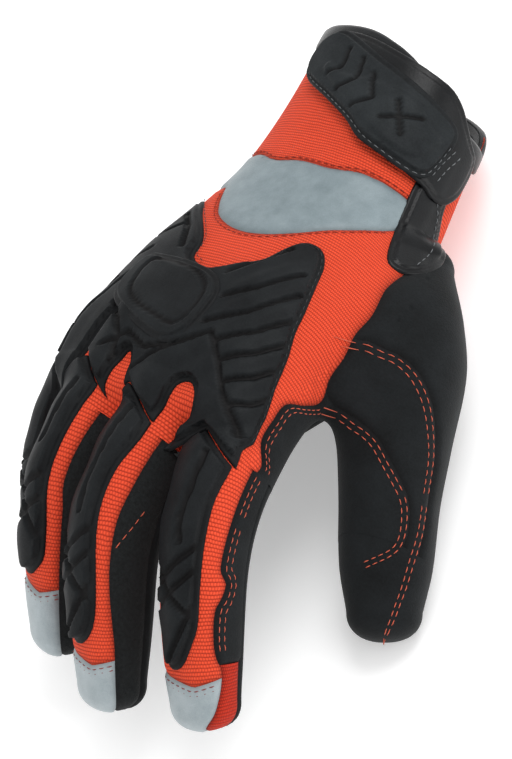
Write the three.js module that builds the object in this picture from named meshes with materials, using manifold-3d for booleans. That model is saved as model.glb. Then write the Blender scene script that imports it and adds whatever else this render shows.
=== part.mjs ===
// A right-hand hi-vis impact glove, filled to the shape of a hand and resting on its palm heel.
// Millimetres. Fingers point to -Y, the thumb side is +X, the back of the hand faces +Z.
// The sewn shell is made of panels with a seam gap between them, the moulded rubber guard and the
// closure strap lie on top of it, and each finger and the thumb bends at two creases.
import * as THREE from 'three';
import { mergeVertices } from 'three/addons/utils/BufferGeometryUtils.js';
import Module from 'manifold-3d';

const wasm = await Module();
wasm.setup();

// ---- driving dimensions ----
const CLOTH = 1.8; // a panel and its lining
const SEAM = 0.3; // the space between neighbouring panels and layers
const GUARD = 3.4; // thickness of the moulded rubber
const CURL_ROOM = 42; // degrees of wedge left free on the palm side of a crease
const STRETCH_ROOM = 8; // degrees of wedge left free on the back of a crease
const CUFF_END_Y = 118;
const CUFF_HEIGHT = 31.5; // the hand's middle line over the floor, at the cuff
const BINDING_WIDTH = 4;
const CUFF_LENGTH = 52; // from the cuff's end to the reflective band
const PALM_START = 55;
const SIDE_SEAM = 1; // the back panels reach down to this height over the middle line
const FINGER_SEAM = 24; // degrees from the side of a finger to each of its side seams
const HAND_END = 148;

// ---- colours ----
const ORANGE = { color: 0xf04623, roughness: 0.85, metalness: 0 };
const REFLECTIVE = { color: 0x87969b, roughness: 0.45, metalness: 0.1 };
const RUBBER = { color: 0x313538, roughness: 0.55, metalness: 0 };
const SUEDE = { color: 0x1e2122, roughness: 0.95, metalness: 0 };
const MESH = { color: 0x17191a, roughness: 0.9, metalness: 0 };
const VINYL = { color: 0x101213, roughness: 0.2, metalness: 0 };
const HOOK = { color: 0x222426, roughness: 0.9, metalness: 0 };

// How the finished glove stands: tilted so that it rests on its heel, its thumb and its little finger,
// and moved so that the origin is under its middle.
const STAND = { tilt: [3.5, -8.6, 0], move: [-14.16, 2.14, -5.8] };

const group = new THREE.Group();
const stand = new THREE.Group();
stand.rotation.set(...STAND.tilt.map(THREE.MathUtils.degToRad));
stand.position.set(...STAND.move);
stand.updateMatrix();
group.add(stand);

function add(name, geometry, look) {
  geometry.computeVertexNormals();
  const mesh = new THREE.Mesh(geometry, new THREE.MeshStandardMaterial(look));
  mesh.name = name;
  stand.add(mesh);
}

// ---- curves and sections ----

// The values of a table's columns at s, on a smooth curve through the rows. Column 0 is s.
function along(rows, s) {
  const last = rows.length - 1;
  const at = THREE.MathUtils.clamp(s, rows[0][0], rows[last][0]);
  let i = rows.findIndex((row) => row[0] > at) - 1;
  if (i < 0) i = last - 1;
  const slope = (k, c) => {
    const a = Math.max(k - 1, 0);
    const b = Math.min(k + 1, last);
    return (rows[b][c] - rows[a][c]) / (rows[b][0] - rows[a][0]);
  };
  const h = rows[i + 1][0] - rows[i][0];
  const u = (at - rows[i][0]) / h;
  return rows[0].slice(1).map((_, k) => {
    const c = k + 1;
    const start = rows[i][c] * (2 * u ** 3 - 3 * u ** 2 + 1) + slope(i, c) * h * (u ** 3 - 2 * u ** 2 + u);
    const end = rows[i + 1][c] * (3 * u ** 2 - 2 * u ** 3) + slope(i + 1, c) * h * (u ** 3 - u ** 2);
    return start + end;
  });
}

// A limb: a middle line that keeps one heading and pitches down along its length, with a rounded
// rectangle around it. frame(s) gives the line's point and its forward, side and up directions.
// roll turns the section about the line, and lean is the section's turn from its creases' axis.
function limb({ base, heading, pitch, roll = 0, lean = roll, size, power = 2.5, tip, lane = () => [99, 99] }) {
  const first = size[0][0];
  const last = size[size.length - 1][0];
  const turn = THREE.MathUtils.degToRad(heading);
  const level = new THREE.Vector3(Math.cos(turn), Math.sin(turn), 0);
  const forwardAt = (s) => {
    const down = THREE.MathUtils.degToRad(along(pitch, s)[0]);
    const flat = Math.cos(down);
    return new THREE.Vector3(Math.sin(turn) * flat, -Math.cos(turn) * flat, -Math.sin(down));
  };
  const points = new Map([[0, base.clone()]]);
  for (let s = 0; s < last + 40; s += 1) {
    points.set(s + 1, points.get(s).clone().add(forwardAt(s + 0.5)));
  }
  for (let s = 0; s > first - 10; s -= 1) {
    points.set(s - 1, points.get(s).clone().sub(forwardAt(s - 0.5)));
  }
  const frame = (s) => {
    const whole = Math.floor(s);
    const forward = forwardAt(s);
    const point = points.get(whole).clone().addScaledVector(forward, s - whole);
    const up = forward.clone().cross(level);
    const side = level.clone().applyAxisAngle(forward, THREE.MathUtils.degToRad(roll));
    up.applyAxisAngle(forward, THREE.MathUtils.degToRad(roll));
    return { point, forward, side, up };
  };
  return { frame, size, power, tip, lane, roll, lean, first, last };
}

// A point on a limb's skin, grown outwards by grow. angle 0 is the thumb side, 90 the back.
// shear pushes the point forwards in proportion to its height, to bevel an end.
function skinPoint(body, station, angle, grow, bevel) {
  const { s, shrink = 1, push = 0 } = station;
  const { point, forward, side, up } = body.frame(s);
  const [width, top, low, shift = 0] = along(body.size, s);
  const a = THREE.MathUtils.degToRad(angle);
  const curve = (value) => Math.sign(value) * Math.abs(value) ** (2 / body.power);
  const [left, right] = body.lane(s);
  const shell = Math.min(grow, 0);
  const wide = curve(Math.cos(a)) * Math.max(width + grow, 0.5) * shrink;
  const x = THREE.MathUtils.clamp(wide + shift, -left - shell, right + shell);
  const y = curve(Math.sin(a)) * Math.max((Math.sin(a) > 0 ? top : low) + grow, 0.5) * shrink;
  const tilt = THREE.MathUtils.degToRad(body.lean);
  const height = x * Math.sin(tilt) + y * Math.cos(tilt);
  const ahead = push * (1 + grow / body.tip) + (bevel ? bevel(height) : 0);
  return point.clone().addScaledVector(side, x).addScaledVector(up, y).addScaledVector(forward, ahead);
}

// A closed body through rings of equal length. lidOf lists the triangles that close one end.
function skin(rings, lidOf) {
  const count = rings[0].length;
  const position = rings.flat().flatMap((p) => [p.x, p.y, p.z]);
  const index = [];
  for (let r = 0; r + 1 < rings.length; r += 1) {
    for (let i = 0; i < count; i += 1) {
      const j = (i + 1) % count;
      const [a, b] = [r * count + i, r * count + j];
      index.push(a, b, b + count, a, b + count, a + count);
    }
  }
  const end = (rings.length - 1) * count;
  for (const [a, b, c] of lidOf(count)) {
    index.push(c, b, a, end + a, end + b, end + c);
  }
  const corner = (k) => new THREE.Vector3().fromArray(position, index[k] * 3);
  let volume = 0;
  for (let k = 0; k < index.length; k += 3) {
    volume += corner(k).dot(corner(k + 1).cross(corner(k + 2)));
  }
  if (volume < 0) index.reverse();
  const geometry = new THREE.BufferGeometry();
  geometry.setAttribute('position', new THREE.Float32BufferAttribute(position, 3));
  geometry.setIndex(index);
  return geometry;
}

// Ends for a full ring, and for a ring that runs out along one side of a wall and back on the other.
function roundLid(count) {
  return Array.from({ length: count - 2 }, (_, i) => [0, i + 1, i + 2]);
}

function wallLid(count) {
  const lid = [];
  for (let i = 0; i < count / 2 - 1; i += 1) {
    const back = count - 1 - i;
    lid.push([i, i + 1, back - 1], [i, back - 1, back]);
  }
  return lid;
}

function steps(from, to, count) {
  return Array.from({ length: count + 1 }, (_, i) => from + ((to - from) * i) / count);
}

function stations(from, to, count) {
  return steps(from, to, count).map((s) => ({ s }));
}

// The rounded end of a limb, as rings that shrink while they are pushed forwards.
function domeStations(body, count) {
  return steps(0, 84, count).slice(1).map((degrees) => {
    const a = THREE.MathUtils.degToRad(degrees);
    return { s: body.last, shrink: Math.cos(a), push: body.tip * Math.sin(a) };
  });
}

function tube(body, places, grow, sides) {
  const angles = steps(0, 360, sides).slice(0, -1);
  return skin(places.map((place) => angles.map((a) => skinPoint(body, place, a, grow))), roundLid);
}

// A wall over part of a limb: it covers the angles from a0 to a1, between two offsets of the skin.
// slant moves it back along the limb by that much for each right angle that it goes round, as far as
// farthest.
function wall(body, places, [a0, a1], [inside, outside], sides, { bevel, slant = 0, farthest = -99 } = {}) {
  const angles = steps(a0, a1, sides);
  const rings = places.map((place, k) => {
    const cut = k === 0 ? bevel : undefined;
    const there = (a) => ({ ...place, s: Math.max(place.s - (slant * a) / 90, farthest + k * 0.5) });
    const out = angles.map((a) => skinPoint(body, there(a), a, outside, cut));
    const back = angles.map((a) => skinPoint(body, there(a), a, inside, cut)).reverse();
    return [...out, ...back];
  });
  return skin(rings, wallLid);
}

// ---- joining and cutting ----

function solid(geometry) {
  const plain = geometry.clone();
  plain.deleteAttribute('normal');
  plain.deleteAttribute('uv');
  const merged = mergeVertices(plain, 1e-4);
  return new wasm.Manifold(new wasm.Mesh({
    numProp: 3,
    vertProperties: new Float32Array(merged.attributes.position.array),
    triVerts: new Uint32Array(merged.index.array),
  }));
}

function geometryOf(body) {
  const mesh = body.getMesh();
  const geometry = new THREE.BufferGeometry();
  geometry.setAttribute('position', new THREE.Float32BufferAttribute(mesh.vertProperties, 3));
  geometry.setIndex(Array.from(mesh.triVerts));
  return geometry;
}

function joined(bodies) {
  return bodies.reduce((sum, body) => sum.add(body));
}

// ---- the hand, the fingers and the thumb ----

const hand = limb({
  base: new THREE.Vector3(0, CUFF_END_Y, CUFF_HEIGHT),
  heading: 0,
  pitch: [[0, 0], [45, -4], [75, -18], [120, -20], [150, -14], [165, -8]],
  // s, half width, height over the middle line, depth under it, shift towards the thumb
  size: [
    [0, 33, 22, 24, -2], [30, 34, 22.5, 25, -1], [58, 37, 25, 28.6, 1], [80, 43, 25, 28, 3],
    [110, 46.5, 24, 25, 5], [136, 46, 20, 20, 4], [HAND_END, 43, 16, 16, 3],
  ],
  tip: 11,
});

function onHand(s, side, up) {
  const f = hand.frame(s);
  return f.point.clone().addScaledVector(f.side, side).addScaledVector(f.up, up);
}

// at: place on the hand's middle line, offset to the side and up. root and mid: the two creases.
const FINGERS = {
  index: {
    at: [143, 38, -4], heading: 11, roll: 7, length: 102, half: 12.6, root: 21, mid: 47,
    pitch: [[-30, -10], [0, -10], [20, -4], [45, 17], [60, 29], [80, 35], [105, 42]],
  },
  middle: {
    at: [146, 11.5, -1], heading: 6, roll: 18, length: 105, half: 12.9, root: 20, mid: 48,
    pitch: [[-30, -15], [0, -15], [20, -9], [48, 15], [62, 32], [85, 36], [112, 44]],
  },
  ring: {
    at: [139, -13.7, 1], heading: 0.7, roll: 21, length: 100, half: 12.3, root: 24, mid: 50,
    pitch: [[-30, -14], [0, -14], [20, -7], [44, 17], [58, 32], [80, 39], [106, 48]],
  },
  pinky: {
    at: [131, -35.5, -7], heading: -4, roll: 25, length: 80, half: 11.4, root: 26, mid: 45,
    pitch: [[-30, -8], [0, -8], [18, 4], [36, 24], [50, 38], [66, 45], [90, 54]],
  },
};
const NAMES = Object.keys(FINGERS);

function fingerLimb(name) {
  const { at, heading, roll, pitch, length, half } = FINGERS[name];
  const size = [
    [-26, 1.0, 1.05], [0, 1.06, 1.1], [35, 1.02, 1.04], [length - 40, 0.99, 0.97],
    [length - 22, 0.93, 0.88], [length - 9, 0.85, 0.76],
  ].map(([s, wide, deep]) => [s, half * wide, half * deep, half * deep]);
  const place = NAMES.indexOf(name);
  const base = onHand(...at);
  // Half the way to each neighbouring finger, less the space between two fingers.
  const lane = (s) => {
    const room = (other) => {
      if (!other) return 99;
      const next = FINGERS[other];
      const spread = Math.abs(Math.tan(THREE.MathUtils.degToRad(heading - next.heading)));
      const apart = base.distanceTo(onHand(at[0], next.at[1], at[2]));
      return (apart + spread * s) / 2 - 0.6;
    };
    return [room(NAMES[place + 1]), room(NAMES[place - 1])];
  };
  return limb({ base, heading, roll, pitch, size, tip: 9, lane, power: 2.4 });
}

const fingers = Object.fromEntries(NAMES.map((name) => [name, fingerLimb(name)]));

const THUMB = { root: 38, mid: 55 };
const thumb = limb({
  base: onHand(93, 54, -20),
  heading: 19.5,
  roll: -25,
  lean: 0,
  pitch: [[-36, 0], [-20, 0], [0, 6], [40, 13], [70, 17], [95, 19]],
  size: [[-32, 5, 5, 5], [-18, 14.5, 14.5, 14.5], [0, 19.5, 18, 18], [26, 17.5, 16.5, 16.5], [45, 15.5, 14.8, 14.8],
    [66, 14.2, 12.8, 12.8], [80, 11.5, 10, 10]],
  tip: 9,
  power: 2.3,
});

// The outline of everything that doesn't bend: the hand with the stub of each finger and of the thumb.
function stillOutline(grow) {
  const reach = grow < 0 ? 3 : 0;
  const parts = [tube(hand, [...stations(-reach, HAND_END, 12), ...domeStations(hand, 3)], grow, 24)];
  for (const name of NAMES) {
    parts.push(tube(fingers[name], stations(-26, FINGERS[name].root + reach, 4), grow, 14));
  }
  parts.push(tube(thumb, stations(-32, THUMB.root + reach, 6), grow, 14));
  return joined(parts.map(solid));
}

// A block that follows the hand from one place to another, between two heights and two sides.
function handBlock(from, to, [low, high], [left, right] = [-95, 120]) {
  const rings = stations(from, to, Math.ceil((to - from) / 16)).map(({ s }) => {
    const f = hand.frame(s);
    const corner = (x, y) => f.point.clone().addScaledVector(f.side, x).addScaledVector(f.up, y);
    return [corner(left, low), corner(right, low), corner(right, high), corner(left, high)];
  });
  return solid(skin(rings, roundLid));
}

// A straight-sided block over an outline on the hand, whose points are [place along, offset to the side].
function handPrism(points, middle, [low, high]) {
  const f = hand.frame(middle);
  const ring = (height) => points.map(([s, x]) => f.point.clone()
    .addScaledVector(f.forward, s - middle).addScaledVector(f.side, x).addScaledVector(f.up, height));
  const shape = points.map(([s, x]) => new THREE.Vector2(s, x));
  const triangles = THREE.ShapeUtils.triangulateShape(shape, []);
  const turns = (corners) => Math.sign(THREE.ShapeUtils.area(corners));
  const sameWay = turns(shape) === turns(triangles[0].map((k) => shape[k]));
  const lid = triangles.map(([a, b, c]) => (sameWay ? [a, b, c] : [c, b, a]));
  return solid(skin([ring(low), ring(high)], () => lid));
}

const HIGH = 90;
const FRONT = 176;
const GUARD_END = 162; // the back of the hand's guard stops here, behind the fingers' own guards
const outline = stillOutline(0);
// The room that the moving pieces take past their first creases is kept free of the still ones.
const movingRoom = joined([
  ...NAMES.map((name) => tube(fingers[name], stations(FINGERS[name].root, FINGERS[name].root + 16, 2), SEAM, 14)),
  tube(thumb, stations(THUMB.root, THUMB.root + 16, 2), SEAM, 14),
].map(solid));
const shell = outline.subtract(stillOutline(-CLOTH)).subtract(movingRoom);

add('cuff_back', geometryOf(shell.intersect(
  handBlock(BINDING_WIDTH + SEAM, CUFF_LENGTH, [SIDE_SEAM + SEAM, HIGH]))), ORANGE);
const backOfHand = shell.intersect(
  handBlock(CUFF_LENGTH + SEAM, FRONT, [SIDE_SEAM + SEAM, HIGH]));

// The reflective band is narrow on the thumb side and runs down in a point on the outer side.
const reflectiveOutline = (edge) => [
  [CUFF_LENGTH - 4, -70], [CUFF_LENGTH - 4, 70], [62 + edge, 70], [62 + edge, 37], [87 + edge, 20],
  [92 + edge, -3], [88 + edge, -14], [72 + edge, -30], [72 + edge, -70],
];
const reflectiveBlock = (edge) => handPrism(reflectiveOutline(edge), 70, [-40, 70]);
add('reflective_panel', geometryOf(backOfHand.intersect(reflectiveBlock(0))), REFLECTIVE);
add('back_panel', geometryOf(backOfHand.subtract(reflectiveBlock(SEAM))), ORANGE);
add('cuff_palm', geometryOf(shell.intersect(
  handBlock(BINDING_WIDTH + SEAM, PALM_START, [-HIGH, SIDE_SEAM]))), ORANGE);
add('palm_panel', geometryOf(shell.intersect(
  handBlock(PALM_START + SEAM, FRONT, [-HIGH, SIDE_SEAM]))), SUEDE);

const bindingOut = tube(hand, stations(0, BINDING_WIDTH, 1), 0.8, 28);
const bindingIn = tube(hand, stations(-2, BINDING_WIDTH + 2, 1), -CLOTH - 0.8, 28);
add('cuff_binding', geometryOf(solid(bindingOut).subtract(solid(bindingIn))), SUEDE);

// ---- the pieces on top of the shell ----

const layer = (low, high) => stillOutline(high).subtract(stillOutline(low)).subtract(movingRoom);
const guardLayer = layer(SEAM, SEAM + GUARD);

// The moulded guard: a plate over the knuckles with a branch that starts down each finger.
const GUARD_BRANCH = { index: [29, 51], middle: [1, 21], ring: [-21, -5], pinky: [-46, -27] };
const GUARD_CROTCH = 146;
function guardOutline() {
  const points = [[75, -48], [75, -31], [105, -8], [110, 6], [100, 23], [91, 27], [92, 34], [97, 38], [120, 47]];
  for (const name of NAMES) {
    const [inner, outer] = GUARD_BRANCH[name];
    points.push([GUARD_CROTCH, outer], [172, outer], [172, inner], [GUARD_CROTCH, inner]);
  }
  return points;
}
add('hand_guard', geometryOf(guardLayer
  .intersect(handPrism(guardOutline(), 120, [3, 60]))
  .intersect(handBlock(70, GUARD_END, [3, HIGH]))), RUBBER);

const BADGE = [[125, -22], [106, -23], [112, 0], [124, 12], [135, 11], [139, 3], [136, -6]];
add('guard_badge', geometryOf(layer(GUARD + 2 * SEAM, GUARD + 1.8)
  .intersect(handPrism(BADGE, 122, [6, 60]))), RUBBER);

// The suede saddle that reinforces the web between the index finger and the thumb.
add('thumb_saddle', geometryOf(layer(SEAM, SEAM + 1)
  .intersect(handBlock(116, 163, [-24, -1], [36, 66]))), SUEDE);

// The padded heel of the palm, whose flat face the glove rests on. It is placed where it stands, and
// brought back into the glove's own tilt to be fitted to the shell.
const PAD = { x: [-38, 4], y: [40, 72], height: 9 };
function box([x0, x1], [y0, y1], [z0, z1]) {
  const geometry = new THREE.BoxGeometry(x1 - x0, y1 - y0, z1 - z0);
  return geometry.translate((x0 + x1) / 2, (y0 + y1) / 2, (z0 + z1) / 2);
}
const padBlock = box(PAD.x, PAD.y, [0, PAD.height]).applyMatrix4(stand.matrix.clone().invert());
add('palm_heel_pad', geometryOf(solid(padBlock).subtract(stillOutline(SEAM))), SUEDE);

// ---- the fingers ----

const wedge = (y) => {
  const room = y < 0 ? CURL_ROOM : STRETCH_ROOM;
  return Math.abs(y) * Math.tan(THREE.MathUtils.degToRad(room));
};

const BACK = [FINGER_SEAM, 180 - FINGER_SEAM];
const PALM = [180 + FINGER_SEAM, 360 - FINGER_SEAM];
const INNER_SIDE = [180 - FINGER_SEAM, 180 + FINGER_SEAM]; // away from the thumb
const OUTER_SIDE = [-FINGER_SEAM, FINGER_SEAM];
const skinOffsets = [-CLOTH, 0];

// Leaves a seam between two panels by drawing in both ends of a range of angles.
function seamed([a0, a1], radius) {
  const gap = THREE.MathUtils.radToDeg(SEAM / radius) * 1.3;
  return [a0 + gap / 2, a1 - gap / 2];
}

for (const name of NAMES) {
  const body = fingers[name];
  const { root, mid, half, length } = FINGERS[name];
  const first = name === NAMES[0];
  const last = name === NAMES[NAMES.length - 1];
  const capStart = length - 17;
  const rootPlaces = [{ s: root + SEAM }, ...stations(root + 15, mid - SEAM, 1)];
  const midToCap = [{ s: mid + SEAM }, ...stations(mid + 15, capStart, 1)];
  const cap = [...stations(capStart + SEAM, body.last, 1), ...domeStations(body, 4)];
  const tipPlaces = [...midToCap, ...stations(body.last - 6, body.last, 1), ...domeStations(body, 4)];
  const back = seamed(BACK, half);
  const palm = seamed([PALM[0], PALM[1]], half);
  const sides = { inner: seamed(INNER_SIDE, half), outer: seamed(OUTER_SIDE, half) };
  // The back panel of the index finger wraps round to the thumb side, and the little finger's palm
  // panel wraps round the outside of the hand.
  if (first) back[0] = sides.outer[0];
  if (last) palm[0] = sides.inner[0];
  add(name + '_root_back', wall(body, rootPlaces, back, skinOffsets, 7, { bevel: wedge }), ORANGE);
  add(name + '_root_palm', wall(body, rootPlaces, palm, skinOffsets, 7, { bevel: wedge }), SUEDE);
  add(name + '_tip_back', wall(body, midToCap, back, skinOffsets, 7, { bevel: wedge }), ORANGE);
  add(name + '_tip_palm', wall(body, tipPlaces, palm, skinOffsets, 7, { bevel: wedge }), SUEDE);
  add(name + '_cap', wall(body, cap, back, skinOffsets, 7), REFLECTIVE);
  for (const side of ['inner', 'outer']) {
    if ((first && side === 'outer') || (last && side === 'inner')) continue;
    const fourchette = `${name}_${side}_fourchette`;
    add(fourchette + '_root', wall(body, rootPlaces, sides[side], skinOffsets, 2, { bevel: wedge }), MESH);
    add(fourchette + '_tip', wall(body, tipPlaces, sides[side], skinOffsets, 2, { bevel: wedge }), MESH);
  }
  const guard = [48, 132];
  const guardOffsets = [0.8, 0.5 + GUARD];
  const rootGuard = stations(root + 3, mid - 1.5, 2);
  const tipGuard = [...stations(mid + 3.5, capStart + 1, 3)];
  add(name + '_root_guard', wall(body, rootGuard, guard, guardOffsets, 4), RUBBER);
  add(name + '_tip_guard', wall(body, tipGuard, guard, guardOffsets, 4), RUBBER);
}

// ---- the thumb ----

const thumbRoot = [{ s: THUMB.root + SEAM }, ...stations(THUMB.mid - 3, THUMB.mid - SEAM, 1)];
const thumbTip = [{ s: THUMB.mid + SEAM }, ...stations(THUMB.mid + 12, thumb.last, 1), ...domeStations(thumb, 4)];
const thumbBack = seamed([0, 180], 14);
const thumbPalm = seamed([180, 360], 14);
add('thumb_root_back', wall(thumb, thumbRoot, thumbBack, skinOffsets, 10, { bevel: wedge }), SUEDE);
add('thumb_root_palm', wall(thumb, thumbRoot, thumbPalm, skinOffsets, 10, { bevel: wedge }), SUEDE);
add('thumb_tip_back', wall(thumb, thumbTip, thumbBack, skinOffsets, 10, { bevel: wedge }), SUEDE);
add('thumb_tip_palm', wall(thumb, thumbTip, thumbPalm, skinOffsets, 10, { bevel: wedge }), SUEDE);

// ---- the closure strap: layers round the cuff, from the skin outwards ----

const STRAP = { from: 22, to: 49, hinge: -14, end: 148, slant: 20 };
const lean = { slant: STRAP.slant, farthest: -3 };
const leanOnCuff = { slant: STRAP.slant, farthest: 1 };
const strapPlaces = (inset) => stations(STRAP.from + inset, STRAP.to - inset, 3);
const LAYERS = { loop: [1.1, 2.1], hook: [2.4, 3.4], band: [3.7, 5.3], guard: [5.6, 8.8] };
add('loop_pad', wall(hand, strapPlaces(4), [72, 156], LAYERS.loop, 8, leanOnCuff), HOOK);
add('strap_hook', wall(hand, strapPlaces(4), [84, 144], LAYERS.hook, 7, leanOnCuff), HOOK);
add('strap_band', wall(hand, strapPlaces(0), [STRAP.hinge, STRAP.end], LAYERS.band, 18, lean), SUEDE);
add('strap_guard', wall(hand, strapPlaces(2), [22, STRAP.end - 2], LAYERS.guard, 14, lean), RUBBER);
add('strap_anchor', wall(hand, stations(STRAP.from, STRAP.to + 7, 4), [-62, STRAP.hinge - 2],
  [1.1, 2.9], 6), VINYL);

export default group;
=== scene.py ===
import bpy
import numpy as np
from mathutils import Matrix


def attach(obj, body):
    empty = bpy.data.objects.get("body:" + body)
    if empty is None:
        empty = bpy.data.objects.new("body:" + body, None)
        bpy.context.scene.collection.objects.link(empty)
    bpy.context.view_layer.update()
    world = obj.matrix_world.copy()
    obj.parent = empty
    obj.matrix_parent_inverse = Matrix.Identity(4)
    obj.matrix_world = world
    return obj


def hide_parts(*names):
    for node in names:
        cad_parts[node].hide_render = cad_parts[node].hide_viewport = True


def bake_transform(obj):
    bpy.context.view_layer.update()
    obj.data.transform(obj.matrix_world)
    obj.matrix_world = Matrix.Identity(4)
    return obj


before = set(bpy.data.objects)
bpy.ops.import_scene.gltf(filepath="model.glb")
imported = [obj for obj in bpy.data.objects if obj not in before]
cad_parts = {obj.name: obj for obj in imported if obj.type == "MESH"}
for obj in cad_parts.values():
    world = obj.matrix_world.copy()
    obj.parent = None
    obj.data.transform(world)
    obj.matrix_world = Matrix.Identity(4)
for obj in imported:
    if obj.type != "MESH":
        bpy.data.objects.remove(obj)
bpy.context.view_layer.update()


# ---- Camera ----
# The glove is seen from above its thumb side, with the fingers pointing down the view.
azimuth, elevation, roll = np.radians([62.73, 49.99, 37.27])
back = np.array([np.sin(azimuth) * np.cos(elevation), -np.cos(azimuth) * np.cos(elevation), np.sin(elevation)])
level_right = np.array([np.cos(azimuth), np.sin(azimuth), 0])
level_up = np.cross(back, level_right)
right = np.cos(roll) * level_right - np.sin(roll) * level_up
up = np.cos(roll) * level_up + np.sin(roll) * level_right
aim, distance = np.array([-0.0156, 0.0018, 0.0244]), 1.5
eye = aim + distance * back

lens = bpy.data.cameras.new("view")
lens.sensor_width = 36
lens.lens = 220.7
lens.clip_start, lens.clip_end = 0.05, 20
camera = bpy.data.objects.new("view", lens)
axes = np.stack([right, up, back, eye], 1)
camera.matrix_world = Matrix([*axes.tolist(), [0, 0, 0, 1]])
bpy.context.scene.collection.objects.link(camera)
bpy.context.scene.camera = camera


# ---- Studio ----
# A pale matt floor that runs past the view, a white sky and three large soft lights.
def lamp(name, place, energy, size):
    light = bpy.data.lights.new(name, "AREA")
    light.energy, light.size = energy, size
    box = bpy.data.objects.new(name, light)
    box.location = place
    box.rotation_euler = (-box.location).to_track_quat("-Z", "Y").to_euler()
    bpy.context.scene.collection.objects.link(box)


lamp("key", (0.3, 0.9, 1.5), 13, 0.9)
lamp("side", (1.4, 0.3, 0.5), 5, 0.8)
lamp("low", (-0.9, -1.0, 0.8), 3, 1.2)

sky = bpy.data.worlds.new("sky")
sky.use_nodes = True
sky.node_tree.nodes["Background"].inputs["Color"].default_value = (1, 1, 1, 1)
sky.node_tree.nodes["Background"].inputs["Strength"].default_value = 0.8
bpy.context.scene.world = sky
bpy.context.scene.view_settings.view_transform = "Standard"

floor_mesh = bpy.data.meshes.new("floor")
floor_mesh.from_pydata([(-6, -6, 0), (6, -6, 0), (6, 6, 0), (-6, 6, 0)], [], [(0, 1, 2, 3)])
floor = bpy.data.objects.new("floor", floor_mesh)
bpy.context.scene.collection.objects.link(floor)
paper = bpy.data.materials.new("studio_paper")
paper.use_nodes = True
bsdf = paper.node_tree.nodes["Principled BSDF"]
fibres = paper.node_tree.nodes.new("ShaderNodeTexNoise")
fibres.inputs["Scale"].default_value = 400
tone = paper.node_tree.nodes.new("ShaderNodeMapRange")
tone.inputs["To Min"].default_value, tone.inputs["To Max"].default_value = 0.9, 0.95
paper.node_tree.links.new(fibres.outputs["Fac"], tone.inputs["Value"])
paper.node_tree.links.new(tone.outputs["Result"], bsdf.inputs["Base Color"])
bsdf.inputs["Roughness"].default_value = 0.9
bsdf.inputs["Emission Strength"].default_value = 0.3
floor_mesh.materials.append(paper)


# ---- The filled glove's form ----
# The sewn shell is stretched over a hand: a palm, four fingers and a thumb, each a rounded section that
# follows a bending middle line. Sizes are millimetres along each limb, from the cuff or from its knuckle.
def curve(s, rows):
    """The values of a table's columns at s, on a smooth curve through its rows. Column 0 is s."""
    rows = np.array(rows, float)
    at, value = rows[:, 0], rows[:, 1:]
    slope = np.empty_like(value)
    slope[1:-1] = (value[2:] - value[:-2]) / (at[2:] - at[:-2])[:, None]
    slope[0] = (value[1] - value[0]) / (at[1] - at[0])
    slope[-1] = (value[-1] - value[-2]) / (at[-1] - at[-2])
    s = np.clip(s, at[0], at[-1])
    i = np.clip(np.searchsorted(at, s, side="right") - 1, 0, len(at) - 2)
    h = (at[i + 1] - at[i])[..., None]
    u = (s - at[i])[..., None] / h
    start = value[i] * (2 * u**3 - 3 * u**2 + 1) + slope[i] * h * (u**3 - 2 * u**2 + u)
    return start + value[i + 1] * (3 * u**2 - 2 * u**3) + slope[i + 1] * h * (u**3 - u**2)


class Limb:
    """A middle line of one heading that pitches down along its length, and the sections on it."""

    def __init__(self, base, heading, roll, pitch, size, tip, power):
        self.first, self.last, self.tip, self.power, self.size = size[0][0], size[-1][0], tip, power, size
        self.s = np.arange(self.first - 8, self.last + 31, 1.0)
        turn, lean = np.radians([heading, roll])

        def forward(s):
            down = np.radians(curve(s, pitch)[:, 0])
            return np.stack([np.sin(turn) * np.cos(down), -np.cos(turn) * np.cos(down), -np.sin(down)], 1)

        line = np.concatenate([[np.zeros(3)], np.cumsum(forward(self.s + 0.5)[:-1], 0)])
        self.point = line - line[np.argmin(abs(self.s))] + base
        self.forward = forward(self.s)
        flat = np.tile([np.cos(turn), np.sin(turn), 0.0], (len(self.s), 1))
        above = np.cross(self.forward, flat)
        self.side = np.cos(lean) * flat + np.sin(lean) * above
        self.up = np.cos(lean) * above - np.sin(lean) * flat

    def place(self, s, x, y):
        """Points at s along the line, x to the thumb's side and y to the back of the hand."""
        at = np.clip(np.asarray(s, float) - self.s[0], 0, len(self.s) - 1.001)
        k = at.astype(int)
        u = (at - k)[..., None]
        point, side, above = (a[k] * (1 - u) + a[k + 1] * u for a in (self.point, self.side, self.up))
        return point + side * np.asarray(x, float)[..., None] + above * np.asarray(y, float)[..., None]

    def local(self, points):
        """The reverse of place: columns s, x and y."""
        found = np.empty((len(points), 3))
        square = (self.point**2).sum(1)
        batch = 60000
        for k in range(0, len(points), batch):
            part = points[k : k + batch]
            i = (square[None] - 2 * part @ self.point.T).argmin(1)
            away = part - self.point[i]
            along = np.clip((away * self.forward[i]).sum(1), -0.5, 0.5)
            away = away - self.forward[i] * along[:, None]
            sides = [(away * self.side[i]).sum(1), (away * self.up[i]).sum(1)]
            found[k : k + batch] = np.stack([self.s[i] + along, *sides], 1)
        return found

    def outside(self, points):
        """How far points lie outside the limb's surface."""
        s, x, y = self.local(points).T
        width, top, low, shift = curve(np.minimum(s, self.last), [(*row, 0)[:5] for row in self.size]).T
        height = np.where(y > 0, top, low)
        parts = abs((x - shift) / width) ** self.power + abs(y / height) ** self.power
        parts += (np.clip(s - self.last, 0, None) / self.tip) ** self.power
        parts += (np.clip(self.first - s, 0, None) / 6) ** self.power
        return (parts ** (1 / self.power) - 1) * np.minimum(width, height)


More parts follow.
